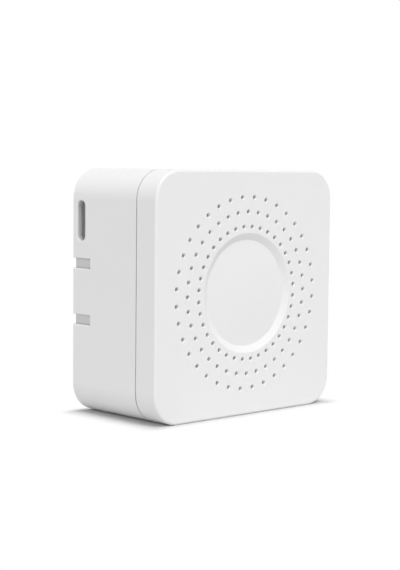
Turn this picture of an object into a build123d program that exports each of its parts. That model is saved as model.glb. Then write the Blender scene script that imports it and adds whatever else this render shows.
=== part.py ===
from build123d import *
import os
from math import hypot

# A mains relay module in a square white case, modelled standing on its narrow bottom wall.
# Millimetres. X runs to the viewer's right, Y runs from the front to the back, Z is up.
# The origin is the middle of the bottom wall's underside.

# Case
CASE_WIDTH = 50.0
CASE_HEIGHT = 50.0
CASE_DEPTH = 25.6
CORNER_RADIUS = 6.0
COVER_DEPTH = 5.6
SIDE_WALL = 1.6
FRONT_WALL = 1.5
BACK_WALL = 1.2
FRONT_EDGE_ROUND = 0.5
BACK_EDGE_ROUND = 0.2
REVEAL_WIDTH = 0.25
REVEAL_DEPTH = 0.6
LIP_HEIGHT = 1.5
LIP_GAP = 0.1

# Front face
VENT_RADIUS = 0.4
VENT_RIM = 0.13
VENTS_PER_RING = 36
VENT_RINGS = ((19.55, 5.0), (16.55, 0.0), (13.55, 5.0))
DISH_DEPTH = 0.7
DISC_CROWN = 0.4
DISC_FLAT_RADIUS = 0.8
DISH_FLOOR_RADIUS = 10.85
DISH_RIM_RADIUS = 12.25
DISH_PAD_RADIUS = 12.0
DISH_PAD_DEPTH = 0.5

# Snap arms of the cover, two on the top wall and two on the bottom wall
SNAP_X = 12.0
SNAP_WIDTH = 5.0
SNAP_THICKNESS = 1.0
SNAP_REACH = 3.15
SNAP_ROOT = 0.2
SNAP_BARB = 0.55
SNAP_BARB_LENGTH = 1.2
SNAP_BARB_SLOPE = 0.9
SNAP_GAP = 0.1

# Pairing key in the left wall
SLOT_LENGTH = 8.15
SLOT_WIDTH = 2.4
SLOT_Z = 39.45
SLOT_FROM_BACK = 2.58
SLOT_RIM_ROUND = 0.3
COLLAR_WALL = 0.8
COLLAR_DEPTH = 1.4
KEY_GAP = 0.12
KEY_RECESS = 1.1
KEY_EDGE_ROUND = 0.2
KEY_TRAVEL = 0.3
KEY_FLANGE = 0.7
KEY_FLANGE_GAP = 0.1
KEY_FLANGE_ABOVE = 0.5
KEY_FLANGE_BELOW = 0.7
KEY_NUB_RADIUS = 0.8
KEY_NUB_LENGTH = 0.35

# Clip notches in the left and right walls, open at the back
NOTCH_HEIGHT = 2.05
NOTCH_LENGTH = 5.4
NOTCH_DEPTH = 0.8
NOTCH_BEVEL = 0.2
NOTCH_OFFSET_Z = 5.75

# Fits: parts that run on each other, parts that touch, and how far a cutter runs past a face
RUNNING_GAP = 0.05
TOUCH_GAP = 0.02
OVERCUT = 1.0

# Circuit board, its screws and the bosses that it lies on
BOARD_FRONT = 6.9
BOARD_THICKNESS = 1.6
BOARD_LEFT = -21.6
BOARD_RIGHT = 22.3
BOARD_MARGIN_Z = 2.2
BOARD_CORNER = 3.6
BOSS_X = 17.6
BOSS_OFFSET_Z = 19.6
BOSS_RADIUS = 2.2
PILOT_SPARE = 0.3
SCREW_RADIUS = 1.0
SCREW_HEAD_RADIUS = 1.9
SCREW_HEAD_HEIGHT = 1.3
SCREW_HEAD_ROUND = 0.5
SCREW_LENGTH = 4.6
CROSS_LENGTH = 2.4
CROSS_WIDTH = 0.5
CROSS_DEPTH = 0.7

# Leads and pins through the board, and how far a component stands off it
LEAD_RADIUS = 0.3
PIN_TAIL = 2.2
PIN_HOLE_GAP = 0.12
LEAD_ROOT = 0.5
STAND_OFF = 0.3

# Screw terminals on the right, heights counted forward from the board
POLES = 5
POLE_PITCH = 5.0
TERMINAL_X = 18.6
TERMINAL_BACK_X = 14.3
TERMINAL_INNER_X = 23.2
TERMINAL_NOSE_X = 24.8
TERMINAL_HEIGHT = 12.4
TERMINAL_END_WALL = 0.5
NOSE_LOW = 0.4
NOSE_HIGH = 6.3
NOSE_STEP = 0.2
NOSE_GAP = 0.15
WIRE_HEIGHT = 3.35
WIRE_RADIUS = 1.7
WIRE_LEAD_IN = 0.4
CHAMBER_START_X = 15.0
CHAMBER_END_X = 21.3
CHAMBER_WIDTH = 4.0
CHAMBER_HEIGHT = 9.2
SHOULDER_HEIGHT = 9.8
TERMINAL_SHANK_RADIUS = 1.25
TERMINAL_HEAD_RADIUS = 1.8
TERMINAL_HEAD_HEIGHT = 1.55
TERMINAL_HEAD_BEVEL = 0.2
DRIVER_SLOT_WIDTH = 0.6
DRIVER_SLOT_DEPTH = 0.8
BUSBAR_LOW = 4.8
BUSBAR_THICKNESS = 0.8
BUSBAR_WIDTH = 2.5
BUSBAR_LEG = 0.7
BUSBAR_END_GAP = 0.3
BUSBAR_TONGUE_GAP = 0.4
BUSBAR_PIN_WIDTH = 1.0
CAGE_START_X = 16.2
CAGE_END_X = 20.9
CAGE_WIDTH = 3.8
CAGE_WALL = 0.5
CAGE_ROUND = 0.3
CAGE_FLOOR_LOW = 1.2
CAGE_FLOOR = 0.7
CAGE_TOP_LOW = 6.1
CAGE_TOP = 1.0

# Relay, standing on the board beside the terminals, its length along Z
RELAY_X = 7.6
RELAY_Z = 24.5
RELAY_WIDTH = 10.4
RELAY_LENGTH = 18.4
RELAY_HEIGHT = 15.0
RELAY_ROUNDS = (0.5, 0.3)
RELAY_WALL = 0.6
RELAY_BASE = 1.5
COIL_Y = -1.5
CORE_RADIUS = 1.5
POLE_RADIUS = 2.5
POLE_TOP = 11.5
POLE_THICKNESS = 0.8
BOBBIN_LOW = 3.1
BOBBIN_HIGH = 10.5
BOBBIN_FLANGE = 0.6
BOBBIN_FLANGE_SIZE = (8.8, 9.2)
BOBBIN_TUBE_RADIUS = 2.1
BOBBIN_TAB = 0.6
COIL_RADIUS = 4.1
YOKE_WIDTH = 7.4
YOKE_THICKNESS = 1.2
YOKE_BACK_Y = -8.0
YOKE_FRONT_Y = 2.5
YOKE_TOP = 11.8
YOKE_PIN = (1.6, 0.8)
ARMATURE_LOW = 11.9
ARMATURE_THICKNESS = 1.0
ARMATURE_END_Y = 4.0
ARMATURE_SET_BACK = 0.1
ARMATURE_CORNER = 0.5
SPRING_WIDTH = 5.2
SPRING_THICKNESS = 0.2
SPRING_SET_BACK = 0.6
SPRING_CORNER = 0.8
SPRING_PAST_CONTACT = 1.4
SPRING_RIVETS = (0.6, 1.5, -2.5)
RIVET_HEAD = 0.3
CONTACT_Y = 6.4
CONTACT_RADIUS = 1.5
CONTACT_SHANK_RADIUS = 0.8
CONTACT_THICKNESS = 0.8
CONTACT_GAP = 0.72
FIXED_BLADE = 0.6
FIXED_BLADE_WIDTH = 3.6
FIXED_PIN_WIDTH = 2.4

# Transformer of the power supply
TRANSFORMER_X = -7.6
TRANSFORMER_Z = 26.5
TRANSFORMER_AXIS_HEIGHT = 5.5
FERRITE_SIDE = 12.6
FERRITE_LEG = 3.7
FERRITE_END = 1.9
FERRITE_WINDOW = 9.0
FERRITE_CORNER = 0.3
FORMER_TUBE = 4.6
FORMER_LENGTH = 8.8
FORMER_WIDTH = 8.6
FORMER_HEIGHT = 9.6
FORMER_FLANGE = 0.55
RAIL_REACH = 6.1
RAIL_TOP = 3.1
WINDING_SIDE = 8.4
WINDING_CORNER = 1.2
TRANSFORMER_PIN_TOP = 2.2
TRANSFORMER_PIN_PITCH = 2.5
TRANSFORMER_PIN_ROW = 5.4

# Side-pushed switch on the board's rear, behind the pairing key, and the lamp below it
SWITCH_LENGTH = 3.2
SWITCH_HALF_WIDTH = 2.0
SWITCH_HEIGHT = 2.6
SWITCH_SHEET = 0.15
SWITCH_FRAME_INSET = 0.3
SWITCH_FOOT = 0.3
PLUNGER_REACH = 0.55
PLUNGER_HALF_WIDTH = 0.8
PLUNGER_HALF_HEIGHT = 0.5
PLUNGER_DEPTH = 1.1
PLUNGER_ROUND = 0.15
LAMP_BELOW_SLOT = 3.6
LAMP_GAP = 0.35
LAMP_BASE = (1.6, 1.6, 0.35)
LAMP_LENS = (1.0, 1.4, 0.8)
LAMP_LENS_ROUND = 0.15

# Electrolytic cans and the drum choke: radius, height and lead gap, then the can's rolled rim
BULK_CAPACITOR = (4.0, 11.5, 3.5)
OUTPUT_CAPACITOR = (2.5, 10.5, 2.0)
CHOKE = (2.4, 7.6, 2.5)
CAN_TOP_ROUND = 0.4
CAN_FOOT_ROUND = 0.3
CAN_GROOVE_HEIGHT = 1.7
CAN_GROOVE_RADIUS = 0.55
CAN_GROOVE_DEPTH = 0.3
CAN_RIM = 1.0
CAN_RIM_DEPTH = 0.25
CAN_SCORE_WIDTH = 0.25
CHOKE_ROUND = 0.3
CHOKE_DIMPLE = (1.3, 0.3)

# Moulded boxes: length, width, top, corner round and top round, then half the lead gap
SUPPRESSOR = (10.0, 5.0, 11.0, 0.5, 0.3)
SUPPRESSOR_LEAD_X = 3.75
FUSE = (8.2, 3.8, 7.4, 0.6, 0.4)
FUSE_LEAD_X = 2.54

# Varistor: radius, thickness and height of the disc's middle, its round, and its lead places
VARISTOR_DISC = (3.9, 3.4, 5.6)
VARISTOR_ROUND = 1.2
VARISTOR_LEAD = (2.5, 0.6)

# Chips: width, length, height, leads per side, lead pitch and lead reach
BRIDGE_CHIP = (4.0, 4.7, 2.4, 2, 2.54, 1.1)
CONTROLLER_CHIP = (3.9, 4.9, 1.7, 4, 1.27, 1.0)
REGULATOR_CHIP = (3.5, 6.5, 1.7, 3, 2.3, 1.4)
CHIP_LIFT = 0.1
CHIP_BEVEL = 0.2
CHIP_LEAD = (0.4, 0.3)

# Radio board with its shield and folded antenna track
RADIO_SIZE = (16.0, 12.0)
RADIO_LEVELS = (0.05, 0.85)
RADIO_EDGE_RADIUS = 0.35
RADIO_EDGE_PITCH = 2.0
RADIO_EDGES = 6
SHIELD_X = (-3.2, 7.4)
SHIELD_HALF_WIDTH = 5.0
SHIELD_HEIGHT = 2.0
SHIELD_SHEET = 0.2
SHIELD_ROUNDS = (0.8, 0.25)
ANTENNA_X = (-7.5, -4.1)
ANTENNA_WIDTH = 0.5
ANTENNA_PITCH = 2.075
ANTENNA_RUNS = 5
ANTENNA_THICKNESS = 0.05

# Where the components stand on the board, as X and Z
BULK_CAPACITOR_PLACES = ((-12.4, 39.6), (-3.4, 39.6))
OUTPUT_CAPACITOR_PLACE = (-18.0, 22.5)
CHOKE_PLACE = (-18.0, 30.0)
SUPPRESSOR_PLACE = (6.4, 41.2)
VARISTOR_PLACE = (16.6, 40.6)
FUSE_PLACE = (8.6, 8.6)
RADIO_PLACE = (-7.2, 10.2)
BRIDGE_PLACE = (2.0, 37.6)
CONTROLLER_PLACE = (-7.6, 26.5)
REGULATOR_PLACE = (-12.0, 13.0)

# Values worked out from the ones above
BOTH_SIDES = (-1, 1)
MID_Z = CASE_HEIGHT / 2
FRONT_Y = -CASE_DEPTH / 2
BACK_Y = CASE_DEPTH / 2
PARTING_Y = FRONT_Y + COVER_DEPTH
INNER_BACK_Y = BACK_Y - BACK_WALL
BOARD_REAR = BOARD_FRONT + BOARD_THICKNESS
LEFT_X = -CASE_WIDTH / 2
RIGHT_X = CASE_WIDTH / 2
SNAP_TIP_Y = PARTING_Y + SNAP_REACH
SNAP_CATCH_Y = SNAP_TIP_Y - SNAP_BARB_LENGTH
SLOT_Y = BACK_Y - SLOT_FROM_BACK
COLLAR_END_X = LEFT_X + SIDE_WALL + COLLAR_DEPTH
KEY_FACE_X = LEFT_X + KEY_RECESS
KEY_FLANGE_X = COLLAR_END_X + KEY_FLANGE_GAP
KEY_BACK_X = KEY_FLANGE_X + KEY_FLANGE
KEY_NUB_X = KEY_BACK_X + KEY_NUB_LENGTH
SWITCH_BODY_X = (KEY_NUB_X + PLUNGER_REACH, KEY_NUB_X + PLUNGER_REACH + SWITCH_LENGTH)
POLE_OFFSETS = [POLE_PITCH * (pole - (POLES - 1) / 2) for pole in range(POLES)]
TERMINAL_HALF = POLES * POLE_PITCH / 2 + TERMINAL_END_WALL
BUSBAR_BACK_X = CHAMBER_START_X + BUSBAR_END_GAP
BOSS_PLACES = [(sx * BOSS_X, MID_Z + sz * BOSS_OFFSET_Z) for sx in BOTH_SIDES for sz in BOTH_SIDES]
RELAY_FLOOR_TOP = STAND_OFF + RELAY_BASE
YOKE_FOOT_TOP = RELAY_FLOOR_TOP + YOKE_THICKNESS
SPRING_LOW = ARMATURE_LOW + ARMATURE_THICKNESS
RELAY_COIL_PINS = [(side * 3.8, 4.4) for side in BOTH_SIDES]
RELAY_YOKE_PIN_PLACE = (0.0, YOKE_BACK_Y + YOKE_THICKNESS / 2)
RELAY_CONTACT_PIN_PLACE = (0.0, 8.0)
RELAY_CONTACT_PIN = (FIXED_PIN_WIDTH, FIXED_BLADE)
TRANSFORMER_PINS = [
    (side * step * TRANSFORMER_PIN_PITCH, end * TRANSFORMER_PIN_ROW)
    for end in BOTH_SIDES for side in BOTH_SIDES for step in (0.5, 1.5)]


def block(x_span, y_span, z_span):
    """A box from its low and high value along each axis."""
    size = [high - low for low, high in (x_span, y_span, z_span)]
    middle = [(high + low) / 2 for low, high in (x_span, y_span, z_span)]
    return Pos(*middle) * Box(*size)


def slab(length, width, low, high, x=0.0, y=0.0):
    """A box centred on a place, between two heights."""
    return Pos(x, y, (low + high) / 2) * Box(length, width, high - low)


def post(radius, low, high, x=0.0, y=0.0):
    """An upright cylinder between two heights."""
    return Pos(x, y, (low + high) / 2) * Cylinder(radius, high - low)


def on_board(x, z):
    """The place of a component on the board's front: its height runs forward, its y runs up."""
    return Pos(x, BOARD_FRONT, z) * Rot(90, 0, 0)


def behind_board(x, z):
    """The place of a component on the board's rear: its height runs backward."""
    return Pos(x, BOARD_REAR, z) * Rot(-90, 0, 0)


def case_slab(inset, front, back):
    """The case's rounded square, drawn in by inset, between two depths."""
    side = RectangleRounded(CASE_WIDTH - 2 * inset, CASE_HEIGHT - 2 * inset, CORNER_RADIUS - inset)
    plane = Plane(origin=(0, back, MID_Z), x_dir=(1, 0, 0), z_dir=(0, -1, 0))
    return extrude(plane * side, amount=back - front)


def key_prism(length, width, start_x, end_x):
    """A prism with rounded ends, through the left wall at the pairing key."""
    plane = Plane(origin=(start_x, SLOT_Y, SLOT_Z), x_dir=(0, 0, 1), z_dir=(1, 0, 0))
    return extrude(plane * SlotOverall(length, width), amount=end_x - start_x)


def vent_cutter():
    """One vent hole with its eased rim, on the Y axis, from the front face inward."""
    rim = VENT_RADIUS + VENT_RIM
    depth = FRONT_WALL + OVERCUT
    profile = Plane.XY * Polygon(
        (0, 0), (rim, 0), (VENT_RADIUS, VENT_RIM), (VENT_RADIUS, depth), (0, depth), align=None)
    return revolve(profile, Axis.Y, 360)


def disc_depth(radius):
    """How deep the crowned disc lies below the front face, at a radius."""
    crown_radius = (DISH_FLOOR_RADIUS ** 2 + DISC_CROWN ** 2) / (2 * DISC_CROWN)
    return DISH_DEPTH - DISC_CROWN + crown_radius - (crown_radius ** 2 - radius ** 2) ** 0.5


def dish_cutter():
    """The dish on the Y axis, from the front face inward: a sloping wall round a crowned disc."""
    centre_depth = disc_depth(DISC_FLAT_RADIUS)
    outline = Polyline(
        (DISC_FLAT_RADIUS, centre_depth), (0, centre_depth), (0, 0), (DISH_RIM_RADIUS, 0),
        (DISH_FLOOR_RADIUS, DISH_DEPTH))
    halfway = (DISH_FLOOR_RADIUS + DISC_FLAT_RADIUS) / 2
    disc = ThreePointArc(
        (DISH_FLOOR_RADIUS, DISH_DEPTH), (halfway, disc_depth(halfway)),
        (DISC_FLAT_RADIUS, centre_depth))
    return revolve(make_face([outline, disc]), Axis.Y, 360)


def snap_arm(side_x, side_z):
    """One springy arm with a barb, on the cover's top or bottom edge."""
    outer = CASE_HEIGHT / 2 - SIDE_WALL - SNAP_GAP
    inner = outer - SNAP_THICKNESS
    root = FRONT_Y + FRONT_WALL - SNAP_ROOT
    nose = SNAP_TIP_Y - SNAP_BARB_SLOPE
    profile = Plane.YZ * Polygon(
        (root, inner), (SNAP_TIP_Y, inner), (SNAP_TIP_Y, outer), (nose, outer + SNAP_BARB),
        (SNAP_CATCH_Y, outer + SNAP_BARB), (SNAP_CATCH_Y, outer), (root, outer), align=None)
    arm = extrude(profile, amount=SNAP_WIDTH / 2, both=True)
    if side_z < 0:
        arm = mirror(arm, Plane.XY)
    return Pos(side_x * SNAP_X, 0, MID_Z) * arm


def front_cover():
    """The perforated cap: dish and vents in its face, snap arms behind it."""
    shell = case_slab(0, FRONT_Y, PARTING_Y)
    shell = fillet(shell.faces().sort_by(Axis.Y)[0].edges(), FRONT_EDGE_ROUND)
    shell -= case_slab(SIDE_WALL, FRONT_Y + FRONT_WALL, PARTING_Y)
    shell -= case_slab(SIDE_WALL / 2, PARTING_Y - LIP_HEIGHT - LIP_GAP, PARTING_Y)
    face_frame = Pos(0, FRONT_Y, MID_Z) * Rot(-90, 0, 0)
    shell += face_frame * post(DISH_PAD_RADIUS, FRONT_WALL / 2, FRONT_WALL + DISH_PAD_DEPTH)
    shell -= Pos(0, FRONT_Y, MID_Z) * dish_cutter()
    cutter = vent_cutter()
    vents = []
    for ring_radius, first_angle in VENT_RINGS:
        for vent in range(VENTS_PER_RING):
            turn = first_angle + vent * 360 / VENTS_PER_RING
            vents.append(Pos(0, FRONT_Y, MID_Z) * Rot(0, turn, 0) * Pos(0, 0, ring_radius) * cutter)
    shell -= vents
    for side_x in BOTH_SIDES:
        for side_z in BOTH_SIDES:
            shell += snap_arm(side_x, side_z)
    return shell


def snap_pockets():
    """The blind pockets in the top and bottom walls that the cover's barbs snap into."""
    wall = CASE_HEIGHT / 2 - SIDE_WALL
    half = SNAP_WIDTH / 2 + SNAP_GAP
    pockets = []
    for side_x in BOTH_SIDES:
        for side_z in BOTH_SIDES:
            x_span = (side_x * SNAP_X - half, side_x * SNAP_X + half)
            y_span = (SNAP_CATCH_Y - SNAP_GAP, SNAP_TIP_Y + SNAP_GAP)
            reach = sorted((MID_Z + side_z * (wall - SNAP_GAP), MID_Z + side_z * (wall + SNAP_BARB)))
            pockets.append(block(x_span, y_span, reach))
    return pockets


def notch_mouth(side_x, middle):
    """The sloping mouth of a notch: its cross-section grows towards the outside."""
    sections = []
    for out_x in (-NOTCH_BEVEL, OVERCUT):
        grow = NOTCH_BEVEL + out_x
        y_span = (BACK_Y - NOTCH_LENGTH - grow, BACK_Y + OVERCUT)
        plane = Plane(
            origin=(side_x * (RIGHT_X + out_x), sum(y_span) / 2, middle),
            x_dir=(0, 1, 0), z_dir=(side_x, 0, 0))
        sections.append(plane * Rectangle(y_span[1] - y_span[0], NOTCH_HEIGHT + 2 * grow))
    return loft(sections, ruled=True)


def clip_notches():
    """The four shallow notches that the claws of a wall plate grip."""
    notches = []
    for side_x in BOTH_SIDES:
        for side_z in BOTH_SIDES:
            middle = MID_Z + side_z * NOTCH_OFFSET_Z
            reach = sorted((side_x * (RIGHT_X - NOTCH_DEPTH), side_x * (RIGHT_X + OVERCUT)))
            z_span = (middle - NOTCH_HEIGHT / 2, middle + NOTCH_HEIGHT / 2)
            notches.append(block(reach, (BACK_Y - NOTCH_LENGTH, BACK_Y + OVERCUT), z_span))
            notches.append(notch_mouth(side_x, middle))
    return notches


def terminal_window():
    """The window in the right wall that the terminal block's nose fills."""
    half = TERMINAL_HALF - NOSE_STEP + NOSE_GAP
    return block(
        (RIGHT_X - SIDE_WALL - OVERCUT, RIGHT_X + OVERCUT),
        (BOARD_FRONT - NOSE_HIGH - NOSE_GAP, BOARD_FRONT - NOSE_LOW + NOSE_GAP),
        (MID_Z - half, MID_Z + half))


def rear_housing():
    """The deep half of the case: key slot and collar, clip notches, terminal window, bosses."""
    shell = case_slab(0, PARTING_Y, BACK_Y)
    shell = fillet(shell.faces().sort_by(Axis.Y)[-1].edges(), BACK_EDGE_ROUND)
    shell -= case_slab(0, PARTING_Y, PARTING_Y + REVEAL_WIDTH) - case_slab(
        REVEAL_DEPTH, PARTING_Y, PARTING_Y + REVEAL_WIDTH)
    shell += case_slab(SIDE_WALL / 2 + LIP_GAP, PARTING_Y - LIP_HEIGHT, PARTING_Y + SIDE_WALL)
    shell -= case_slab(SIDE_WALL, PARTING_Y - LIP_HEIGHT, INNER_BACK_Y)
    collar_length = SLOT_LENGTH + 2 * COLLAR_WALL
    collar_width = SLOT_WIDTH + 2 * COLLAR_WALL
    collar = key_prism(collar_length, collar_width, LEFT_X + SIDE_WALL / 2, COLLAR_END_X)
    shell += collar & case_slab(SIDE_WALL / 2, PARTING_Y, BACK_Y - BACK_WALL / 2)
    shell -= key_prism(SLOT_LENGTH, SLOT_WIDTH, LEFT_X - OVERCUT, COLLAR_END_X + OVERCUT)
    rim = [edge for edge in shell.edges().filter_by_position(Axis.X, LEFT_X - 0.01, LEFT_X + 0.01)
           if abs(edge.center().Y - SLOT_Y) < SLOT_WIDTH
           and abs(edge.center().Z - SLOT_Z) < SLOT_LENGTH]
    shell = fillet(rim, SLOT_RIM_ROUND)
    shell -= clip_notches()
    shell -= snap_pockets()
    shell -= terminal_window()
    boss = post(BOSS_RADIUS, 0, INNER_BACK_Y - BOARD_REAR + BACK_WALL / 2)
    pilot = post(SCREW_RADIUS + RUNNING_GAP, 0, SCREW_LENGTH - BOARD_THICKNESS + PILOT_SPARE)
    for x, z in BOSS_PLACES:
        shell += behind_board(x, z) * boss
        shell -= behind_board(x, z) * pilot
    return shell


def pairing_key():
    """The clear key: pill face in the slot, flange behind the collar, nub on the switch."""
    pill = key_prism(SLOT_LENGTH - 2 * KEY_GAP, SLOT_WIDTH - 2 * KEY_GAP, KEY_FACE_X, KEY_FLANGE_X)
    pill = fillet(pill.faces().sort_by(Axis.X)[0].edges(), KEY_EDGE_ROUND)
    flange = block(
        (KEY_FLANGE_X, KEY_BACK_X),
        (BOARD_REAR + KEY_FLANGE_GAP, INNER_BACK_Y - KEY_FLANGE_GAP),
        (SLOT_Z - SLOT_LENGTH / 2 - KEY_FLANGE_BELOW, SLOT_Z + SLOT_LENGTH / 2 + KEY_FLANGE_ABOVE))
    nub = Pos(KEY_FLANGE_X, SLOT_Y, SLOT_Z) * Rot(0, 90, 0) * post(
        KEY_NUB_RADIUS, 0, KEY_FLANGE + KEY_NUB_LENGTH)
    return pill + flange + nub


def tact_switch_body():
    """The switch's moulded body, with the pocket that its plunger slides in."""
    body = block(
        SWITCH_BODY_X,
        (BOARD_REAR, BOARD_REAR + SWITCH_HEIGHT),
        (SLOT_Z - SWITCH_HALF_WIDTH, SLOT_Z + SWITCH_HALF_WIDTH))
    half_height = PLUNGER_HALF_HEIGHT + RUNNING_GAP
    half_width = PLUNGER_HALF_WIDTH + RUNNING_GAP
    floor_x = SWITCH_BODY_X[0] + PLUNGER_DEPTH + KEY_TRAVEL + RUNNING_GAP
    pocket = block(
        (SWITCH_BODY_X[0] - OVERCUT, floor_x),
        (SLOT_Y - half_height, SLOT_Y + half_height),
        (SLOT_Z - half_width, SLOT_Z + half_width))
    return body - pocket


def tact_switch_plunger():
    """The small plunger that the key's nub pushes in."""
    plunger = block(
        (KEY_NUB_X + TOUCH_GAP, SWITCH_BODY_X[0] + PLUNGER_DEPTH),
        (SLOT_Y - PLUNGER_HALF_HEIGHT, SLOT_Y + PLUNGER_HALF_HEIGHT),
        (SLOT_Z - PLUNGER_HALF_WIDTH, SLOT_Z + PLUNGER_HALF_WIDTH))
    return fillet(plunger.faces().sort_by(Axis.X)[0].edges(), PLUNGER_ROUND)


def tact_switch_frame():
    """The folded steel frame that holds the switch together and solders to the board."""
    top = BOARD_REAR + SWITCH_HEIGHT
    x_span = (SWITCH_BODY_X[0] + SWITCH_FRAME_INSET, SWITCH_BODY_X[1] - SWITCH_FRAME_INSET)
    leg = SWITCH_HALF_WIDTH + SWITCH_SHEET
    cap = block(x_span, (top, top + SWITCH_SHEET), (SLOT_Z - leg, SLOT_Z + leg))
    for side in BOTH_SIDES:
        inner_z = SLOT_Z + side * SWITCH_HALF_WIDTH
        leg_z = sorted((inner_z, SLOT_Z + side * leg))
        foot_z = sorted((inner_z, SLOT_Z + side * (leg + SWITCH_FOOT)))
        cap += block(x_span, (BOARD_REAR, top + SWITCH_SHEET), leg_z)
        cap += block(x_span, (BOARD_REAR, BOARD_REAR + SWITCH_SHEET), foot_z)
    return cap


def status_led():
    """A side-lit lamp chip below the switch, which shines into the key's flange."""
    base_length, base_width, base_top = LAMP_BASE
    lens_length, lens_width, lens_top = LAMP_LENS
    lens = slab(lens_length, lens_width, base_top, lens_top)
    lens = fillet(lens.edges().group_by(Axis.Z)[-1], LAMP_LENS_ROUND)
    lamp_x = KEY_BACK_X + KEY_TRAVEL + LAMP_GAP + base_length / 2
    chip_body = slab(base_length, base_width, 0, base_top) + lens
    return behind_board(lamp_x, SLOT_Z - LAMP_BELOW_SLOT) * chip_body


def lead(x, y, top=LEAD_ROOT):
    """A round solder lead through the board, up to a height inside its component."""
    return post(LEAD_RADIUS, -PIN_TAIL, top, x, y)


def capacitor_can(radius, height, lead_gap):
    """An upright electrolytic can with its rolled groove, vented top and two leads."""
    can = post(radius, STAND_OFF, height)
    can = fillet(can.faces().sort_by(Axis.Z)[-1].edges(), CAN_TOP_ROUND)
    can = fillet(can.faces().sort_by(Axis.Z)[0].edges(), CAN_FOOT_ROUND)
    groove = Torus(radius + CAN_GROOVE_RADIUS - CAN_GROOVE_DEPTH, CAN_GROOVE_RADIUS)
    can -= Pos(0, 0, CAN_GROOVE_HEIGHT) * groove
    plate_radius = radius - CAN_RIM
    can -= post(plate_radius, height - CAN_RIM_DEPTH, height + OVERCUT)
    can += post(plate_radius - CAN_RIM_DEPTH, height - 2 * CAN_RIM_DEPTH, height - CAN_RIM_DEPTH / 2)
    score = slab(2 * plate_radius, CAN_SCORE_WIDTH, height - CAN_RIM_DEPTH, height)
    for angle in (0, 60, 120):
        can -= Rot(0, 0, angle) * score
    for side in BOTH_SIDES:
        can += lead(0, side * lead_gap / 2)
    return can


def moulded_box(length, width, top, corner_round, top_round):
    """A moulded component body that stands a little off the board."""
    body = slab(length, width, STAND_OFF, top)
    body = fillet(body.edges().filter_by(Axis.Z), corner_round)
    return fillet(body.faces().sort_by(Axis.Z)[-1].edges(), top_round)


def boxed_component(size, lead_x):
    """A moulded box on two leads: the film capacitor or the fuse."""
    body = moulded_box(*size)
    for side in BOTH_SIDES:
        body += lead(side * lead_x, 0)
    return body


def varistor():
    """The surge disc, dipped in resin, standing on its two leads."""
    radius, thickness, middle = VARISTOR_DISC
    lead_x, lead_y = VARISTOR_LEAD
    disc = Pos(0, 0, middle) * Rot(90, 0, 0) * Cylinder(radius, thickness)
    disc = fillet(disc.edges(), VARISTOR_ROUND)
    for side in BOTH_SIDES:
        disc += lead(side * lead_x, side * lead_y, middle - thickness / 2)
    return disc


def filter_choke():
    """The drum choke between the supply's capacitors, in its sleeve."""
    radius, height, lead_gap = CHOKE
    dimple_radius, dimple_depth = CHOKE_DIMPLE
    drum = post(radius, STAND_OFF, height)
    drum = fillet(drum.edges(), CHOKE_ROUND)
    drum -= post(dimple_radius, height - dimple_depth, height + OVERCUT)
    for side in BOTH_SIDES:
        drum += lead(0, side * lead_gap / 2)
    return drum


def relay_place(piece):
    """A relay piece put on the board."""
    return on_board(RELAY_X, RELAY_Z) * piece


def relay_case():
    """The relay's dust cover, an open box over the whole mechanism."""
    box = moulded_box(RELAY_WIDTH, RELAY_LENGTH, RELAY_HEIGHT, *RELAY_ROUNDS)
    inner_width = RELAY_WIDTH - 2 * RELAY_WALL
    inner_length = RELAY_LENGTH - 2 * RELAY_WALL
    box -= slab(inner_width, inner_length, 0, RELAY_HEIGHT - RELAY_WALL)
    return relay_place(box)


def relay_base():
    """The relay's floor, which carries the yoke, the fixed contact and the coil pins."""
    shrink = 2 * (RELAY_WALL + TOUCH_GAP)
    floor = slab(RELAY_WIDTH - shrink, RELAY_LENGTH - shrink, STAND_OFF, RELAY_FLOOR_TOP)
    for x, y in RELAY_COIL_PINS:
        floor -= post(LEAD_RADIUS + RUNNING_GAP, 0, RELAY_FLOOR_TOP + OVERCUT, x, y)
    flat_pins = ((YOKE_PIN, RELAY_YOKE_PIN_PLACE), (RELAY_CONTACT_PIN, RELAY_CONTACT_PIN_PLACE))
    for (width, thickness), (x, y) in flat_pins:
        floor -= slab(width + 2 * RUNNING_GAP, thickness + 2 * RUNNING_GAP,
                      0, RELAY_FLOOR_TOP + OVERCUT, x, y)
    return relay_place(floor)


def relay_bobbin():
    """The coil former: a tube between two square flanges, with a tab for each coil pin."""
    width, length = BOBBIN_FLANGE_SIZE
    spool = post(BOBBIN_TUBE_RADIUS, BOBBIN_LOW, BOBBIN_HIGH, 0, COIL_Y)
    for low in (BOBBIN_LOW, BOBBIN_HIGH - BOBBIN_FLANGE):
        spool += slab(width, length, low, low + BOBBIN_FLANGE, 0, COIL_Y)
    for x, y in RELAY_COIL_PINS:
        tab_y = (COIL_Y + length / 2 - BOBBIN_FLANGE, y + BOBBIN_TAB)
        spool += block(
            (x - BOBBIN_TAB, x + BOBBIN_TAB), tab_y, (BOBBIN_LOW, BOBBIN_LOW + BOBBIN_FLANGE))
        spool -= post(LEAD_RADIUS + RUNNING_GAP, 0, BOBBIN_LOW + OVERCUT, x, y)
    spool -= post(CORE_RADIUS + TOUCH_GAP, 0, BOBBIN_HIGH + OVERCUT, 0, COIL_Y)
    return relay_place(spool)


def relay_coil():
    """The enamelled winding, a plain ring under its tape because the dust cover hides it."""
    low = BOBBIN_LOW + BOBBIN_FLANGE + TOUCH_GAP
    high = BOBBIN_HIGH - BOBBIN_FLANGE - TOUCH_GAP
    ring = post(COIL_RADIUS, low, high, 0, COIL_Y)
    return relay_place(ring - post(BOBBIN_TUBE_RADIUS + TOUCH_GAP, 0, RELAY_HEIGHT, 0, COIL_Y))


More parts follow.
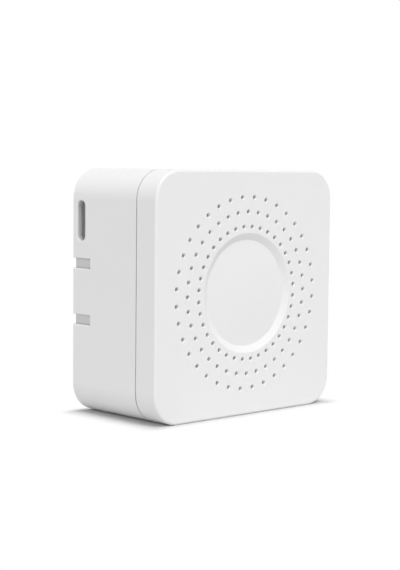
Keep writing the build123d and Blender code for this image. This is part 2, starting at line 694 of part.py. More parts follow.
def relay_core():
    """The soft-iron core with its wide pole face."""
    rod = post(CORE_RADIUS, YOKE_FOOT_TOP, POLE_TOP, 0, COIL_Y)
    rod += post(POLE_RADIUS, POLE_TOP - POLE_THICKNESS, POLE_TOP, 0, COIL_Y)
    return relay_place(rod)


def relay_yoke():
    """The bent iron yoke under the coil and up its side, ending in the common pin."""
    half = YOKE_WIDTH / 2
    foot = block((-half, half), (YOKE_BACK_Y, YOKE_FRONT_Y), (RELAY_FLOOR_TOP, YOKE_FOOT_TOP))
    wall = block(
        (-half, half), (YOKE_BACK_Y, YOKE_BACK_Y + YOKE_THICKNESS), (RELAY_FLOOR_TOP, YOKE_TOP))
    pin = slab(*YOKE_PIN, -PIN_TAIL, YOKE_FOOT_TOP, *RELAY_YOKE_PIN_PLACE)
    return relay_place(foot + wall + pin)


def relay_armature():
    """The iron plate that the pole pulls down, which rocks on the yoke's top edge."""
    half = YOKE_WIDTH / 2
    plate = block(
        (-half, half), (YOKE_BACK_Y + ARMATURE_SET_BACK, ARMATURE_END_Y),
        (ARMATURE_LOW, ARMATURE_LOW + ARMATURE_THICKNESS))
    return relay_place(fillet(plate.edges().filter_by(Axis.Z), ARMATURE_CORNER))


def relay_contact_spring():
    """The copper blade on the armature, with the moving contact riveted to its end."""
    half = SPRING_WIDTH / 2
    top = SPRING_LOW + SPRING_THICKNESS
    rivet_radius, rivet_x, rivet_y = SPRING_RIVETS
    blade = block(
        (-half, half), (YOKE_BACK_Y + SPRING_SET_BACK, CONTACT_Y + SPRING_PAST_CONTACT),
        (SPRING_LOW, top))
    blade = fillet(blade.edges().filter_by(Axis.Z), SPRING_CORNER)
    blade += post(CONTACT_RADIUS, SPRING_LOW - CONTACT_THICKNESS, SPRING_LOW, 0, CONTACT_Y)
    blade += post(CONTACT_SHANK_RADIUS, SPRING_LOW, top + RIVET_HEAD, 0, CONTACT_Y)
    for side in BOTH_SIDES:
        blade += post(rivet_radius, SPRING_LOW, top + RIVET_HEAD, side * rivet_x, rivet_y)
    return relay_place(blade)


def relay_fixed_contact():
    """The normally open contact on its own blade, which ends in the load pin."""
    contact_top = SPRING_LOW - CONTACT_THICKNESS - CONTACT_GAP
    blade_top = contact_top - CONTACT_THICKNESS
    half = FIXED_BLADE_WIDTH / 2
    x, y = RELAY_CONTACT_PIN_PLACE
    leg_y = (y - FIXED_BLADE / 2, y + FIXED_BLADE / 2)
    arm = block((-half, half), (CONTACT_Y - CONTACT_RADIUS, leg_y[1]),
                (blade_top - FIXED_BLADE, blade_top))
    leg = block((-half, half), leg_y, (RELAY_FLOOR_TOP, blade_top))
    pin = slab(*RELAY_CONTACT_PIN, -PIN_TAIL, blade_top, x, y)
    button = post(CONTACT_RADIUS, blade_top, contact_top, 0, CONTACT_Y)
    return relay_place(arm + leg + pin + button)


def relay_coil_pins():
    """The two thin pins that the ends of the winding are soldered to."""
    top = BOBBIN_LOW + BOBBIN_FLANGE
    return Compound(children=[relay_place(lead(x, y, top)) for x, y in RELAY_COIL_PINS])


def transformer_place(piece):
    """A transformer piece put on the board."""
    return on_board(TRANSFORMER_X, TRANSFORMER_Z) * piece


def transformer_core(end):
    """One E-shaped ferrite half, above or below the winding's middle."""
    half = FERRITE_SIDE / 2
    middle = TRANSFORMER_AXIS_HEIGHT
    z_span = (middle - FERRITE_LEG / 2, middle + FERRITE_LEG / 2)
    plate = block((-half, half), (TOUCH_GAP / 2, half), z_span)
    for side in BOTH_SIDES:
        window_x = sorted((side * FERRITE_LEG / 2, side * (half - FERRITE_END)))
        plate -= block(window_x, (0, FERRITE_WINDOW / 2), z_span)
    corners = plate.edges().filter_by(Axis.Z).filter_by_position(Axis.Y, half - 0.01, half + 0.01)
    plate = fillet(corners, FERRITE_CORNER)
    if end < 0:
        plate = mirror(plate, Plane.XZ)
    return transformer_place(plate)


def transformer_bobbin():
    """The former: a square tube, two flanges and the rails that hold the pins."""
    middle = TRANSFORMER_AXIS_HEIGHT
    half = FORMER_WIDTH / 2
    inner_y = FORMER_LENGTH / 2 - FORMER_FLANGE
    bore = FERRITE_LEG + 2 * RUNNING_GAP
    former = Pos(0, 0, middle) * Box(FORMER_TUBE, FORMER_LENGTH, FORMER_TUBE)
    for end in BOTH_SIDES:
        flange_y = sorted((end * inner_y, end * FORMER_LENGTH / 2))
        former += block(
            (-half, half), flange_y, (middle - FORMER_HEIGHT / 2, middle + FORMER_HEIGHT / 2))
        rail_y = sorted((end * inner_y, end * RAIL_REACH))
        former += block((-half, half), rail_y, (STAND_OFF, RAIL_TOP))
    former -= Pos(0, 0, middle) * Box(bore, FERRITE_SIDE, bore)
    for x, y in TRANSFORMER_PINS:
        former -= post(LEAD_RADIUS + TOUCH_GAP, 0, TRANSFORMER_PIN_TOP, x, y)
    return transformer_place(former)


def transformer_winding():
    """The windings under their yellow tape, a plain block with rounded corners."""
    length = FORMER_LENGTH - 2 * (FORMER_FLANGE + TOUCH_GAP)
    bore = FORMER_TUBE + 2 * TOUCH_GAP
    wound = Box(WINDING_SIDE, length, WINDING_SIDE)
    wound = fillet(wound.edges().filter_by(Axis.Y), WINDING_CORNER)
    wound -= Box(bore, FERRITE_SIDE, bore)
    return transformer_place(Pos(0, 0, TRANSFORMER_AXIS_HEIGHT) * wound)


def transformer_pins():
    """The pins under the former's rails."""
    top = TRANSFORMER_PIN_TOP - TOUCH_GAP
    return Compound(children=[transformer_place(lead(x, y, top)) for x, y in TRANSFORMER_PINS])


def chip(width, length, height, lead_count, lead_pitch, reach):
    """A flat moulded chip with a row of bent leads along each long side."""
    lead_width, lead_thickness = CHIP_LEAD
    body = slab(width, length, CHIP_LIFT, height)
    body = chamfer(body.edges().group_by(Axis.Z)[-1], CHIP_BEVEL)
    for number in range(lead_count):
        y = lead_pitch * (number - (lead_count - 1) / 2)
        body += slab(width + 2 * reach, lead_width, 0, lead_thickness, 0, y)
    return body


def radio_board():
    """The small radio board with its row of half-round solder edges."""
    length, width = RADIO_SIZE
    board = slab(length, width, *RADIO_LEVELS)
    for step in range(RADIO_EDGES):
        x = RADIO_EDGE_PITCH * (step - RADIO_EDGES / 2)
        for side in BOTH_SIDES:
            board -= post(RADIO_EDGE_RADIUS, 0, OVERCUT, x, side * width / 2)
    return on_board(*RADIO_PLACE) * board


def radio_shield():
    """The pressed can over the radio chip."""
    low = RADIO_LEVELS[1]
    left, right = SHIELD_X
    half = SHIELD_HALF_WIDTH
    sheet = SHIELD_SHEET
    corner_round, top_round = SHIELD_ROUNDS
    can = block(SHIELD_X, (-half, half), (low, low + SHIELD_HEIGHT))
    can = fillet(can.edges().filter_by(Axis.Z), corner_round)
    can = fillet(can.faces().sort_by(Axis.Z)[-1].edges(), top_round)
    can -= block((left + sheet, right - sheet), (sheet - half, half - sheet),
                 (0, low + SHIELD_HEIGHT - sheet))
    return on_board(*RADIO_PLACE) * can


def radio_antenna():
    """The folded copper track at the free end of the radio board."""
    width = ANTENNA_WIDTH
    low_x, high_x = ANTENNA_X
    low_y = -(ANTENNA_RUNS - 1) * ANTENNA_PITCH / 2 - width / 2
    levels = (RADIO_LEVELS[1], RADIO_LEVELS[1] + ANTENNA_THICKNESS)
    track = block(ANTENNA_X, (low_y, low_y + width), levels)
    for run in range(1, ANTENNA_RUNS):
        y = low_y + run * ANTENNA_PITCH
        turn_x = high_x - width if run % 2 else low_x
        track += block(ANTENNA_X, (y, y + width), levels)
        track += block((turn_x, turn_x + width), (y - ANTENNA_PITCH, y + width), levels)
    return on_board(*RADIO_PLACE) * track


def pole_place(pole):
    """The place of one terminal's screw on the board."""
    return on_board(TERMINAL_X, MID_Z + POLE_OFFSETS[pole])


def terminal_pole_cuts(y):
    """What is cut from the block for one pole: clamp chamber, screw recess and wire entry."""
    half = CHAMBER_WIDTH / 2
    entry = Pos(CHAMBER_END_X, y, WIRE_HEIGHT) * Rot(0, 90, 0)
    mouth = Pos(TERMINAL_NOSE_X - WIRE_LEAD_IN / 2, y, WIRE_HEIGHT) * Rot(0, 90, 0)
    return [
        block((CHAMBER_START_X, CHAMBER_END_X), (y - half, y + half), (0, CHAMBER_HEIGHT)),
        post(TERMINAL_SHANK_RADIUS + RUNNING_GAP, CHAMBER_HEIGHT, SHOULDER_HEIGHT, TERMINAL_X, y),
        post(TERMINAL_HEAD_RADIUS + RUNNING_GAP, SHOULDER_HEIGHT, TERMINAL_HEIGHT, TERMINAL_X, y),
        entry * post(WIRE_RADIUS, 0, TERMINAL_NOSE_X - CHAMBER_END_X),
        mouth * Cone(WIRE_RADIUS, WIRE_RADIUS + WIRE_LEAD_IN, WIRE_LEAD_IN)]


def terminal_housing():
    """The five-way terminal block, whose nose closes the window in the right wall."""
    half = TERMINAL_HALF
    nose_half = half - NOSE_STEP
    body = block((TERMINAL_BACK_X, TERMINAL_INNER_X), (-half, half), (0, TERMINAL_HEIGHT))
    body += block((TERMINAL_INNER_X, TERMINAL_NOSE_X), (-nose_half, nose_half), (NOSE_LOW, NOSE_HIGH))
    for y in POLE_OFFSETS:
        body -= terminal_pole_cuts(y)
    return on_board(0, MID_Z) * body


def terminal_screw(pole):
    """One slotted screw, which pulls its cage up towards its head."""
    head_low = SHOULDER_HEIGHT + RUNNING_GAP
    head_high = head_low + TERMINAL_HEAD_HEIGHT
    tip = BUSBAR_LOW + BUSBAR_THICKNESS + RUNNING_GAP
    head = post(TERMINAL_HEAD_RADIUS, head_low, head_high)
    screw = chamfer(head.faces().sort_by(Axis.Z)[-1].edges(), TERMINAL_HEAD_BEVEL)
    screw += post(TERMINAL_SHANK_RADIUS, tip, head_low)
    screw -= slab(2 * TERMINAL_HEAD_RADIUS, DRIVER_SLOT_WIDTH, head_high - DRIVER_SLOT_DEPTH,
                  head_high)
    return pole_place(pole) * screw


def terminal_cage(pole):
    """One square clamp cage round the busbar, threaded on its screw."""
    x_span = (CAGE_START_X - TERMINAL_X, CAGE_END_X - TERMINAL_X)
    half = CAGE_WIDTH / 2
    window = half - CAGE_WALL
    cage = block(x_span, (-half, half), (CAGE_FLOOR_LOW, CAGE_TOP_LOW + CAGE_TOP))
    cage = fillet(cage.edges().filter_by(Axis.X), CAGE_ROUND)
    cage -= block(x_span, (-window, window), (CAGE_FLOOR_LOW + CAGE_FLOOR, CAGE_TOP_LOW))
    cage -= post(TERMINAL_SHANK_RADIUS + RUNNING_GAP, CAGE_TOP_LOW, CAGE_TOP_LOW + CAGE_TOP)
    return pole_place(pole) * cage


def terminal_busbar(pole):
    """One tinned bar through its cage, bent down to a pin in the board."""
    top = BUSBAR_LOW + BUSBAR_THICKNESS
    back_x = BUSBAR_BACK_X - TERMINAL_X
    front_x = CAGE_END_X - BUSBAR_TONGUE_GAP - TERMINAL_X
    half = BUSBAR_WIDTH / 2
    bar = block((back_x, front_x), (-half, half), (BUSBAR_LOW, top))
    leg = block((back_x, back_x + BUSBAR_LEG), (-half, half), (STAND_OFF, top))
    pin = slab(BUSBAR_LEG, BUSBAR_PIN_WIDTH, -PIN_TAIL, top, back_x + BUSBAR_LEG / 2)
    return pole_place(pole) * (bar + leg + pin)


def board_hole(radius, x, z):
    """A drilled hole in the board, a little wider than its pin."""
    return on_board(x, z) * post(radius + PIN_HOLE_GAP, -BOARD_THICKNESS - OVERCUT, OVERCUT)


def pin_list():
    """Each pin, lead and screw through the board, as its radius and its place."""
    pins = [(SCREW_RADIUS, x, z) for x, z in BOSS_PLACES]
    pins += [(LEAD_RADIUS, RELAY_X + x, RELAY_Z + y) for x, y in RELAY_COIL_PINS]
    flat_pins = ((YOKE_PIN, RELAY_YOKE_PIN_PLACE), (RELAY_CONTACT_PIN, RELAY_CONTACT_PIN_PLACE))
    for size, (x, y) in flat_pins:
        pins.append((hypot(*size) / 2, RELAY_X + x, RELAY_Z + y))
    pins += [(LEAD_RADIUS, TRANSFORMER_X + x, TRANSFORMER_Z + y) for x, y in TRANSFORMER_PINS]
    busbar_pin = hypot(BUSBAR_LEG, BUSBAR_PIN_WIDTH) / 2
    for offset in POLE_OFFSETS:
        pins.append((busbar_pin, BUSBAR_BACK_X + BUSBAR_LEG / 2, MID_Z + offset))
    upright = [(place, BULK_CAPACITOR[2]) for place in BULK_CAPACITOR_PLACES]
    upright += [(OUTPUT_CAPACITOR_PLACE, OUTPUT_CAPACITOR[2]), (CHOKE_PLACE, CHOKE[2])]
    flat = ((SUPPRESSOR_PLACE, SUPPRESSOR_LEAD_X, 0), (FUSE_PLACE, FUSE_LEAD_X, 0),
            (VARISTOR_PLACE, *VARISTOR_LEAD))
    for side in BOTH_SIDES:
        pins += [(LEAD_RADIUS, x, z + side * gap / 2) for (x, z), gap in upright]
        pins += [(LEAD_RADIUS, x + side * dx, z + side * dz) for (x, z), dx, dz in flat]
    return pins


def main_board():
    """The glass-fibre board with a hole for each pin and screw."""
    width = BOARD_RIGHT - BOARD_LEFT
    height = CASE_HEIGHT - 2 * BOARD_MARGIN_Z
    middle = (BOARD_RIGHT + BOARD_LEFT) / 2
    plane = Plane(origin=(middle, BOARD_REAR, MID_Z), x_dir=(1, 0, 0), z_dir=(0, -1, 0))
    board = extrude(plane * RectangleRounded(width, height, BOARD_CORNER), amount=BOARD_THICKNESS)
    return board - [board_hole(*pin) for pin in pin_list()]


def board_screws():
    """The four pan-head screws that hold the board on its bosses."""
    head = post(SCREW_HEAD_RADIUS, 0, SCREW_HEAD_HEIGHT)
    head = fillet(head.faces().sort_by(Axis.Z)[-1].edges(), SCREW_HEAD_ROUND)
    cross_low = SCREW_HEAD_HEIGHT - CROSS_DEPTH
    head -= slab(CROSS_LENGTH, CROSS_WIDTH, cross_low, SCREW_HEAD_HEIGHT)
    head -= slab(CROSS_WIDTH, CROSS_LENGTH, cross_low, SCREW_HEAD_HEIGHT)
    screw = head + post(SCREW_RADIUS, -SCREW_LENGTH, 0)
    return Compound(children=[on_board(x, z) * screw for x, z in BOSS_PLACES])


def small_components():
    """The leaded components and chips that stand on the board by themselves."""
    parts = {
        "bridge_rectifier": behind_board(*BRIDGE_PLACE) * chip(*BRIDGE_CHIP),
        "supply_controller": behind_board(*CONTROLLER_PLACE) * chip(*CONTROLLER_CHIP),
        "voltage_regulator": behind_board(*REGULATOR_PLACE) * chip(*REGULATOR_CHIP),
        "output_capacitor": on_board(*OUTPUT_CAPACITOR_PLACE) * capacitor_can(*OUTPUT_CAPACITOR),
        "suppression_capacitor": on_board(*SUPPRESSOR_PLACE) * boxed_component(
            SUPPRESSOR, SUPPRESSOR_LEAD_X),
        "mains_fuse": on_board(*FUSE_PLACE) * boxed_component(FUSE, FUSE_LEAD_X),
        "varistor": on_board(*VARISTOR_PLACE) * varistor(),
        "filter_choke": on_board(*CHOKE_PLACE) * filter_choke(),
    }
    for number, place in enumerate(BULK_CAPACITOR_PLACES, 1):
        parts[f"bulk_capacitor_{number}"] = on_board(*place) * capacitor_can(*BULK_CAPACITOR)
    return parts


def all_parts():
    """Every node's name and solid, in the order of assembly."""
    parts = {
        "rear_housing": rear_housing(),
        "pairing_key": pairing_key(),
        "main_board": main_board(),
        "board_screws": board_screws(),
        "tact_switch_body": tact_switch_body(),
        "tact_switch_plunger": tact_switch_plunger(),
        "tact_switch_frame": tact_switch_frame(),
        "status_led": status_led(),
        "radio_board": radio_board(),
        "radio_shield": radio_shield(),
        "radio_antenna": radio_antenna(),
        "transformer_core_upper": transformer_core(1),
        "transformer_core_lower": transformer_core(-1),
        "transformer_bobbin": transformer_bobbin(),
        "transformer_winding": transformer_winding(),
        "transformer_pins": transformer_pins(),
        **small_components(),
        "relay_base": relay_base(),
        "relay_yoke": relay_yoke(),
        "relay_core": relay_core(),
        "relay_bobbin": relay_bobbin(),
        "relay_coil": relay_coil(),
        "relay_coil_pins": relay_coil_pins(),
        "relay_fixed_contact": relay_fixed_contact(),
        "relay_armature": relay_armature(),
        "relay_contact_spring": relay_contact_spring(),
        "relay_case": relay_case(),
        "terminal_housing": terminal_housing(),
        "front_cover": front_cover(),
    }
    for pole in range(POLES):
        parts[f"terminal_busbar_{pole + 1}"] = terminal_busbar(pole)
        parts[f"terminal_cage_{pole + 1}"] = terminal_cage(pole)
        parts[f"terminal_screw_{pole + 1}"] = terminal_screw(pole)
    return parts


os.makedirs("parts", exist_ok=True)
for node, solid in all_parts().items():
    export_step(solid, f"parts/{node}.step")
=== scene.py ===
import math

import bmesh
import bpy
from mathutils import Matrix, Vector


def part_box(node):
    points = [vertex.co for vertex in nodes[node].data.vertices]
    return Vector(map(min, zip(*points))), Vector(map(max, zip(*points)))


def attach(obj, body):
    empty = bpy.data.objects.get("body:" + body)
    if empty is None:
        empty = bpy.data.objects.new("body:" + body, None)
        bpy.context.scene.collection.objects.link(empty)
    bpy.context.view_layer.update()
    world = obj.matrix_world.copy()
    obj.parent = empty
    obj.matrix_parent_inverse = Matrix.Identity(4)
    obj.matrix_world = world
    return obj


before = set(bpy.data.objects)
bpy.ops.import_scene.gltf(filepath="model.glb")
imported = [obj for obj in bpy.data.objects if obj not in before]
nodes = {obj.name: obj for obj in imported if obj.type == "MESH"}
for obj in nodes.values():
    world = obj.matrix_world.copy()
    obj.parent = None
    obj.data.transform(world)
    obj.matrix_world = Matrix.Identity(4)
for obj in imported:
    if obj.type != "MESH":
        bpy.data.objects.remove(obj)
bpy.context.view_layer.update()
MM = 0.001

# Rear housing: the deep half of the case, one injection moulding in white ABS.
# Its outside has a fine spark-eroded texture from the mould, a little uneven in gloss.
# Its recesses are a darker tone, which stands in for the shade that they hold.

CASE_WHITE = (0.84, 0.84, 0.84)
CASE_FINISH = {"roughness": 0.46, "depth": 0.0025, "cloud": 0.008}
CASE_MIDDLE_Z = 25.0
NOTCH_FLOOR_X = 24.2
NOTCH_FLOOR_NEAR = 0.1
NOTCH_START_Y = 7.3
NOTCH_END_Y = 7.4
NOTCH_CENTRE = 5.75
NOTCH_REACH = 1.75
NOTCH_HALF = 1.025
NOTCH_SHADE = 0.2
NOTCH_GREY = (0.66, 0.66, 0.665)
NOTCH_EDGE_GREY = (0.5, 0.5, 0.505)
SLOT_MIDDLE = (10.22, 39.45)
SLOT_HALF = (1.3, 4.2)
SLOT_START_X = -24.75
SLOT_GREY = (0.7, 0.7, 0.705)
REVEAL_END_Y = -6.94
REVEAL_GREY = (0.66, 0.66, 0.66)
WANDER_SIZE = 7.0
ROUGHNESS_SWING = 0.06


class Paint:
    """A value, colour or place in a material's node tree, which can be used in Python sums."""

    def __init__(self, tree, socket=None):
        self.tree = tree
        self.socket = socket

    def node(self, kind, settings=(), values=(), out=0):
        """Adds a node of a type: its settings first, then values or links for its sockets."""
        made = self.tree.nodes.new(kind)
        for name, setting in dict(settings).items():
            setattr(made, name, setting)
        for name, value in dict(values).items():
            if isinstance(value, Paint):
                self.tree.links.new(value.socket, made.inputs[name])
            else:
                made.inputs[name].default_value = value
        return Paint(self.tree, made.outputs[out] if len(made.outputs) else None)

    def maths(self, operation, *others):
        """A Math node on this value and others."""
        values = dict(enumerate((self, *others)))
        return self.node("ShaderNodeMath", {"operation": operation}, values)

    def __add__(self, other):
        return self.maths("ADD", other)

    def __sub__(self, other):
        return self.maths("SUBTRACT", other)

    def __rsub__(self, other):
        return self.node("ShaderNodeMath", {"operation": "SUBTRACT"}, {0: other, 1: self})

    def __mul__(self, other):
        return self.maths("MULTIPLY", other)

    def __truediv__(self, other):
        return self.maths("DIVIDE", other)

    def __gt__(self, other):
        return self.maths("GREATER_THAN", other)

    def __lt__(self, other):
        return self.maths("LESS_THAN", other)

    def __abs__(self):
        return self.maths("ABSOLUTE")

    __radd__ = __add__
    __rmul__ = __mul__

    def step(self, start, end):
        """0 at start and 1 at end, softly in between."""
        return self.node("ShaderNodeMapRange", {"interpolation_type": "SMOOTHSTEP"},
                         {"Value": self, "From Min": start, "From Max": end})

    def waves(self, pitch):
        """Waves from -1 to 1 along this value, with that pitch."""
        return (self * (2 * math.pi / pitch)).maths("SINE")

    def between(self, low, high):
        """The number at this value's place from low, at 0, to high, at 1."""
        return low + self * (high - low)

    def blend(self, low, high):
        """The colour at this value's place from low, at 0, to high, at 1."""
        # A Mix node has sockets for each type: 6, 7 and output 2 are the ones for colours.
        return self.node("ShaderNodeMix", {"data_type": "RGBA"},
                         {0: self, 6: rgba(low), 7: rgba(high)}, out=2)

    def noise(self, size, detail=2.0, stretch=(1, 1, 1)):
        """Cloudy noise from 0 to 1 on this place, with features of that size in millimetres."""
        scaled = self.node("ShaderNodeVectorMath", {"operation": "MULTIPLY"},
                           {0: self, 1: [1 / (size * MM * part) for part in stretch]})
        return self.node("ShaderNodeTexNoise", {}, {"Vector": scaled, "Scale": 1.0, "Detail": detail})

    def number(self, name):
        """One of the three numbers of this place or direction: X, Y or Z."""
        return self.node("ShaderNodeSeparateXYZ", {}, {0: self}, out=name)

    def axis(self, name):
        """One coordinate of this place, in millimetres."""
        return self.number(name) / MM

    def bump(self, depth):
        """A surface relief from this height, for a depth in millimetres at a height of 1."""
        return self.node("ShaderNodeBump", {}, {"Height": self, "Distance": depth * MM})


def rgba(colour):
    """A colour with its alpha added, or a link left as it is."""
    return colour if isinstance(colour, Paint) else (*colour, 1.0)


def place_on(material):
    """The place on the object, which a material's detail is drawn on."""
    return Paint(material.node_tree).node("ShaderNodeTexCoord", out="Object")


def new_material(name, **constants):
    """A material with fixed values on its shader, and the place that its detail is drawn on."""
    material = bpy.data.materials.new(name)
    material.use_nodes = True
    shader = material.node_tree.nodes["Principled BSDF"]
    for socket, value in constants.items():
        shader.inputs[socket.replace("_", " ")].default_value = value
    return material, place_on(material)


def vary(material, **links):
    """Links what changes over the surface to the shader's sockets."""
    shader = material.node_tree.nodes["Principled BSDF"]
    for socket, value in links.items():
        material.node_tree.links.new(value.socket, shader.inputs[socket.replace("_", " ")])


def moulding(name, colour, roughness, grain=0.35, depth=0.003, cloud=0.03):
    """A moulded plastic: eroded grain, gloss that wanders and a faint cloud in the colour."""
    material, place = new_material(name)
    wander = place.noise(WANDER_SIZE, 3.0)
    deep = tuple(part * (1 - cloud) for part in colour)
    pale = tuple(min(1.0, part * (1 + cloud)) for part in colour)
    gloss = (wander + place.noise(grain * 2)).step(0.5, 1.5)
    vary(material,
         Base_Color=wander.blend(deep, pale),
         Roughness=gloss.between(roughness - ROUGHNESS_SWING, roughness + ROUGHNESS_SWING),
         Normal=place.noise(grain, 3.0).bump(depth))
    return material


def dress(material, *names):
    """Gives CAD nodes a material in place of their own."""
    for name in names:
        mesh = nodes[name].data
        mesh.materials.clear()
        mesh.materials.append(material)


def repaint(material, mask, colour):
    """Lays another colour over the part of a surface that a mask picks out."""
    tree = material.node_tree
    shader = tree.nodes["Principled BSDF"]
    below = Paint(tree, shader.inputs["Base Color"].links[0].from_socket)
    vary(material, Base_Color=mask.blend(below, colour))


housing_plastic = moulding("housing_plastic", CASE_WHITE, **CASE_FINISH)
place = place_on(housing_plastic)
off_notch = abs(abs(place.axis("Z") - CASE_MIDDLE_Z) - NOTCH_CENTRE)
notch_floor = abs(abs(place.axis("X")) - NOTCH_FLOOR_X) < NOTCH_FLOOR_NEAR
notch_floor = notch_floor * (place.axis("Y") > NOTCH_START_Y) * (off_notch < NOTCH_REACH)
repaint(housing_plastic, notch_floor, NOTCH_GREY)
long_edges = off_notch > NOTCH_HALF - NOTCH_SHADE
inner_end = place.axis("Y") < NOTCH_END_Y + NOTCH_SHADE
repaint(housing_plastic, notch_floor * long_edges.maths("MAXIMUM", inner_end), NOTCH_EDGE_GREY)
slot_width = abs(place.axis("Y") - SLOT_MIDDLE[0]) < SLOT_HALF[0]
slot_length = abs(place.axis("Z") - SLOT_MIDDLE[1]) < SLOT_HALF[1]
slot_depth = (place.axis("X") > SLOT_START_X) * (place.axis("X") < 0)
repaint(housing_plastic, slot_width * slot_length * slot_depth, SLOT_GREY)
repaint(housing_plastic, place.axis("Y") < REVEAL_END_Y, REVEAL_GREY)
dress(housing_plastic, "rear_housing")

# Front cover: the shallow half of the case, moulded in the same white ABS with its dish and
# vents in one piece. It presses on with four snap arms.

cover_plastic = moulding("case_plastic", CASE_WHITE, **CASE_FINISH)
dress(cover_plastic, "front_cover")

# Pairing key: frosted clear acrylic, moulded with its flange, loose in the housing's collar.
# It is dark at rest because the lamp behind it is off.

KEY_DEEP = (0.4, 0.4, 0.405)
KEY_PALE = (0.46, 0.46, 0.465)
KEY_CLOUD = 3.0
KEY_FROST = 0.25
KEY_ROUGHNESS = (0.3, 0.5)
KEY_RELIEF = 0.004

key_acrylic, place = new_material("key_acrylic", Transmission_Weight=0.55, IOR=1.49)
frost = place.noise(KEY_FROST, 3.0)
vary(key_acrylic,
     Base_Color=place.noise(KEY_CLOUD).blend(KEY_DEEP, KEY_PALE),
     Roughness=frost.between(*KEY_ROUGHNESS),
     Normal=frost.bump(KEY_RELIEF))
dress(key_acrylic, "pairing_key")

# Main board: 1.6 mm glass-fibre laminate under green solder mask, with bare pale edges.
# It lies on four bosses of the housing.

MASK_DEEP = (0.012, 0.13, 0.055)
MASK_PALE = (0.016, 0.16, 0.07)
LAMINATE_DEEP = (0.36, 0.38, 0.2)
LAMINATE_PALE = (0.5, 0.5, 0.3)
FIBRE_SIZE = 0.4
WEAVE_PITCH = 0.5236
WEAVE_RELIEF = 0.004
MASK_ROUGHNESS = 0.3
MASK_COAT = 0.5
EDGE_ROUGHNESS = 0.75
EDGE_TURN = (0.4, 0.6)

board_mask, place = new_material("board_mask", IOR=1.5, Coat_Roughness=0.12)
facing = place.node("ShaderNodeTexCoord", out="Normal")
edge = 1 - abs(facing.number("Y")).step(*EDGE_TURN)
weave = place.axis("X").waves(WEAVE_PITCH) * place.axis("Z").waves(WEAVE_PITCH)
laminate = place.noise(FIBRE_SIZE, 3.0).blend(LAMINATE_DEEP, LAMINATE_PALE)
mask_colour = (weave * 0.5 + 0.5).blend(MASK_DEEP, MASK_PALE)
vary(board_mask,
     Base_Color=edge.blend(mask_colour, laminate),
     Roughness=edge.between(MASK_ROUGHNESS, EDGE_ROUGHNESS),
     Coat_Weight=(1 - edge) * MASK_COAT,
     Normal=weave.bump(WEAVE_RELIEF))
dress(board_mask, "main_board")

# Board tracks: etched copper under the mask, which shows a little paler than the mask beside
# it, wide towards the terminals for mains current and thin for signals.
# Each is its width and its corners, as X and Z.

BOARD_FRONT = 6.9
BOARD_REAR = 8.5
TRACK_THICK = 0.05
TRACK_DEEP = (0.03, 0.22, 0.09)
TRACK_PALE = (0.045, 0.27, 0.11)
TRACK_CLOUD = 1.5
TRACK_SMEAR = 0.6
TRACK_ROUGHNESS = (0.22, 0.36)
FRONT_TRACKS = (
    (0.5, ((-20.2, 34.6), (-20.2, 20.5), (-18.6, 18.9), (-18.6, 8.0), (-16.2, 5.6))),
    (0.5, ((-19.2, 34.6), (-19.2, 26.0), (-14.8, 21.6), (-14.8, 18.8))),
    (0.3, ((-17.4, 18.6), (-17.4, 9.0), (-16.0, 7.6))),
    (0.3, ((-16.6, 18.0), (-16.6, 17.2), (1.0, 17.2), (1.0, 14.6))),
    (0.3, ((-13.6, 18.0), (0.2, 18.0), (0.2, 33.6))),
    (0.3, ((-12.8, 18.8), (-0.6, 18.8), (-0.6, 32.8), (1.2, 34.6))),
    (0.3, ((-9.0, 19.6), (-1.4, 19.6), (-1.4, 34.2))),
    (0.8, ((-14.2, 35.2), (-8.0, 35.2), (-6.6, 34.4), (-4.0, 34.4), (-1.6, 35.4))),
    (1.4, ((6.2, 5.0), (13.0, 5.0), (14.2, 6.2), (14.2, 10.6))),
    (1.2, ((2.4, 44.6), (12.4, 44.6), (14.0, 46.0), (18.2, 46.0))),
    (1.0, ((1.6, 17.0), (1.6, 31.0))),
    (0.8, ((13.6, 36.2), (4.8, 36.2), (2.6, 34.0))),
    (1.4, ((15.6, 10.4), (21.0, 10.4))),
    (0.5, ((2.4, 13.4), (2.4, 5.6), (4.0, 4.0), (12.0, 3.4), (15.0, 3.4))),
)
REAR_TRACKS = (
    (2.2, ((18.6, 15.0), (18.6, 20.0))),
    (2.2, ((18.6, 25.0), (14.0, 27.0), (11.0, 33.0))),
    (2.2, ((18.6, 30.0), (14.6, 33.0), (14.6, 40.0))),
    (1.6, ((18.6, 35.0), (17.4, 41.2))),
    (1.6, ((2.7, 41.2), (-1.0, 42.0), (-5.2, 39.6))),
    (1.0, ((10.2, 41.2), (10.2, 36.8), (4.0, 36.8))),
    (0.6, ((-16.8, 30.0), (-14.2, 32.6), (-14.2, 39.6))),
    (0.6, ((-18.0, 22.5), (-15.0, 19.5), (-12.0, 16.4))),
    (0.4, ((-13.0, 28.4), (-10.0, 28.4))),
    (0.4, ((-13.0, 25.9), (-10.0, 25.9))),
    (0.4, ((-5.2, 27.1), (-2.2, 27.1), (-2.2, 34.0), (0.0, 36.2))),
    (0.4, ((-5.2, 24.6), (2.0, 24.6), (4.0, 22.6), (4.0, 18.0))),
    (0.3, ((-15.0, 13.0), (-20.0, 13.0), (-20.0, 33.6), (-16.6, 37.0))),
    (0.3, ((-9.0, 10.0), (-5.6, 6.6), (2.0, 6.6))),
    (0.3, ((-9.0, 12.2), (-4.0, 12.2), (0.0, 8.2))),
)


def add_piece(name, mesh, body, slot, *materials):
    """Makes a mesh into a piece that rides on a body, with its materials."""
    bmesh.ops.recalc_face_normals(mesh, faces=mesh.faces)
    data = bpy.data.meshes.new(name)
    mesh.to_mesh(data)
    mesh.free()
    piece = bpy.data.objects.new(name, data)
    bpy.context.scene.collection.objects.link(piece)
    for material in materials:
        data.materials.append(material)
    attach(piece, body)


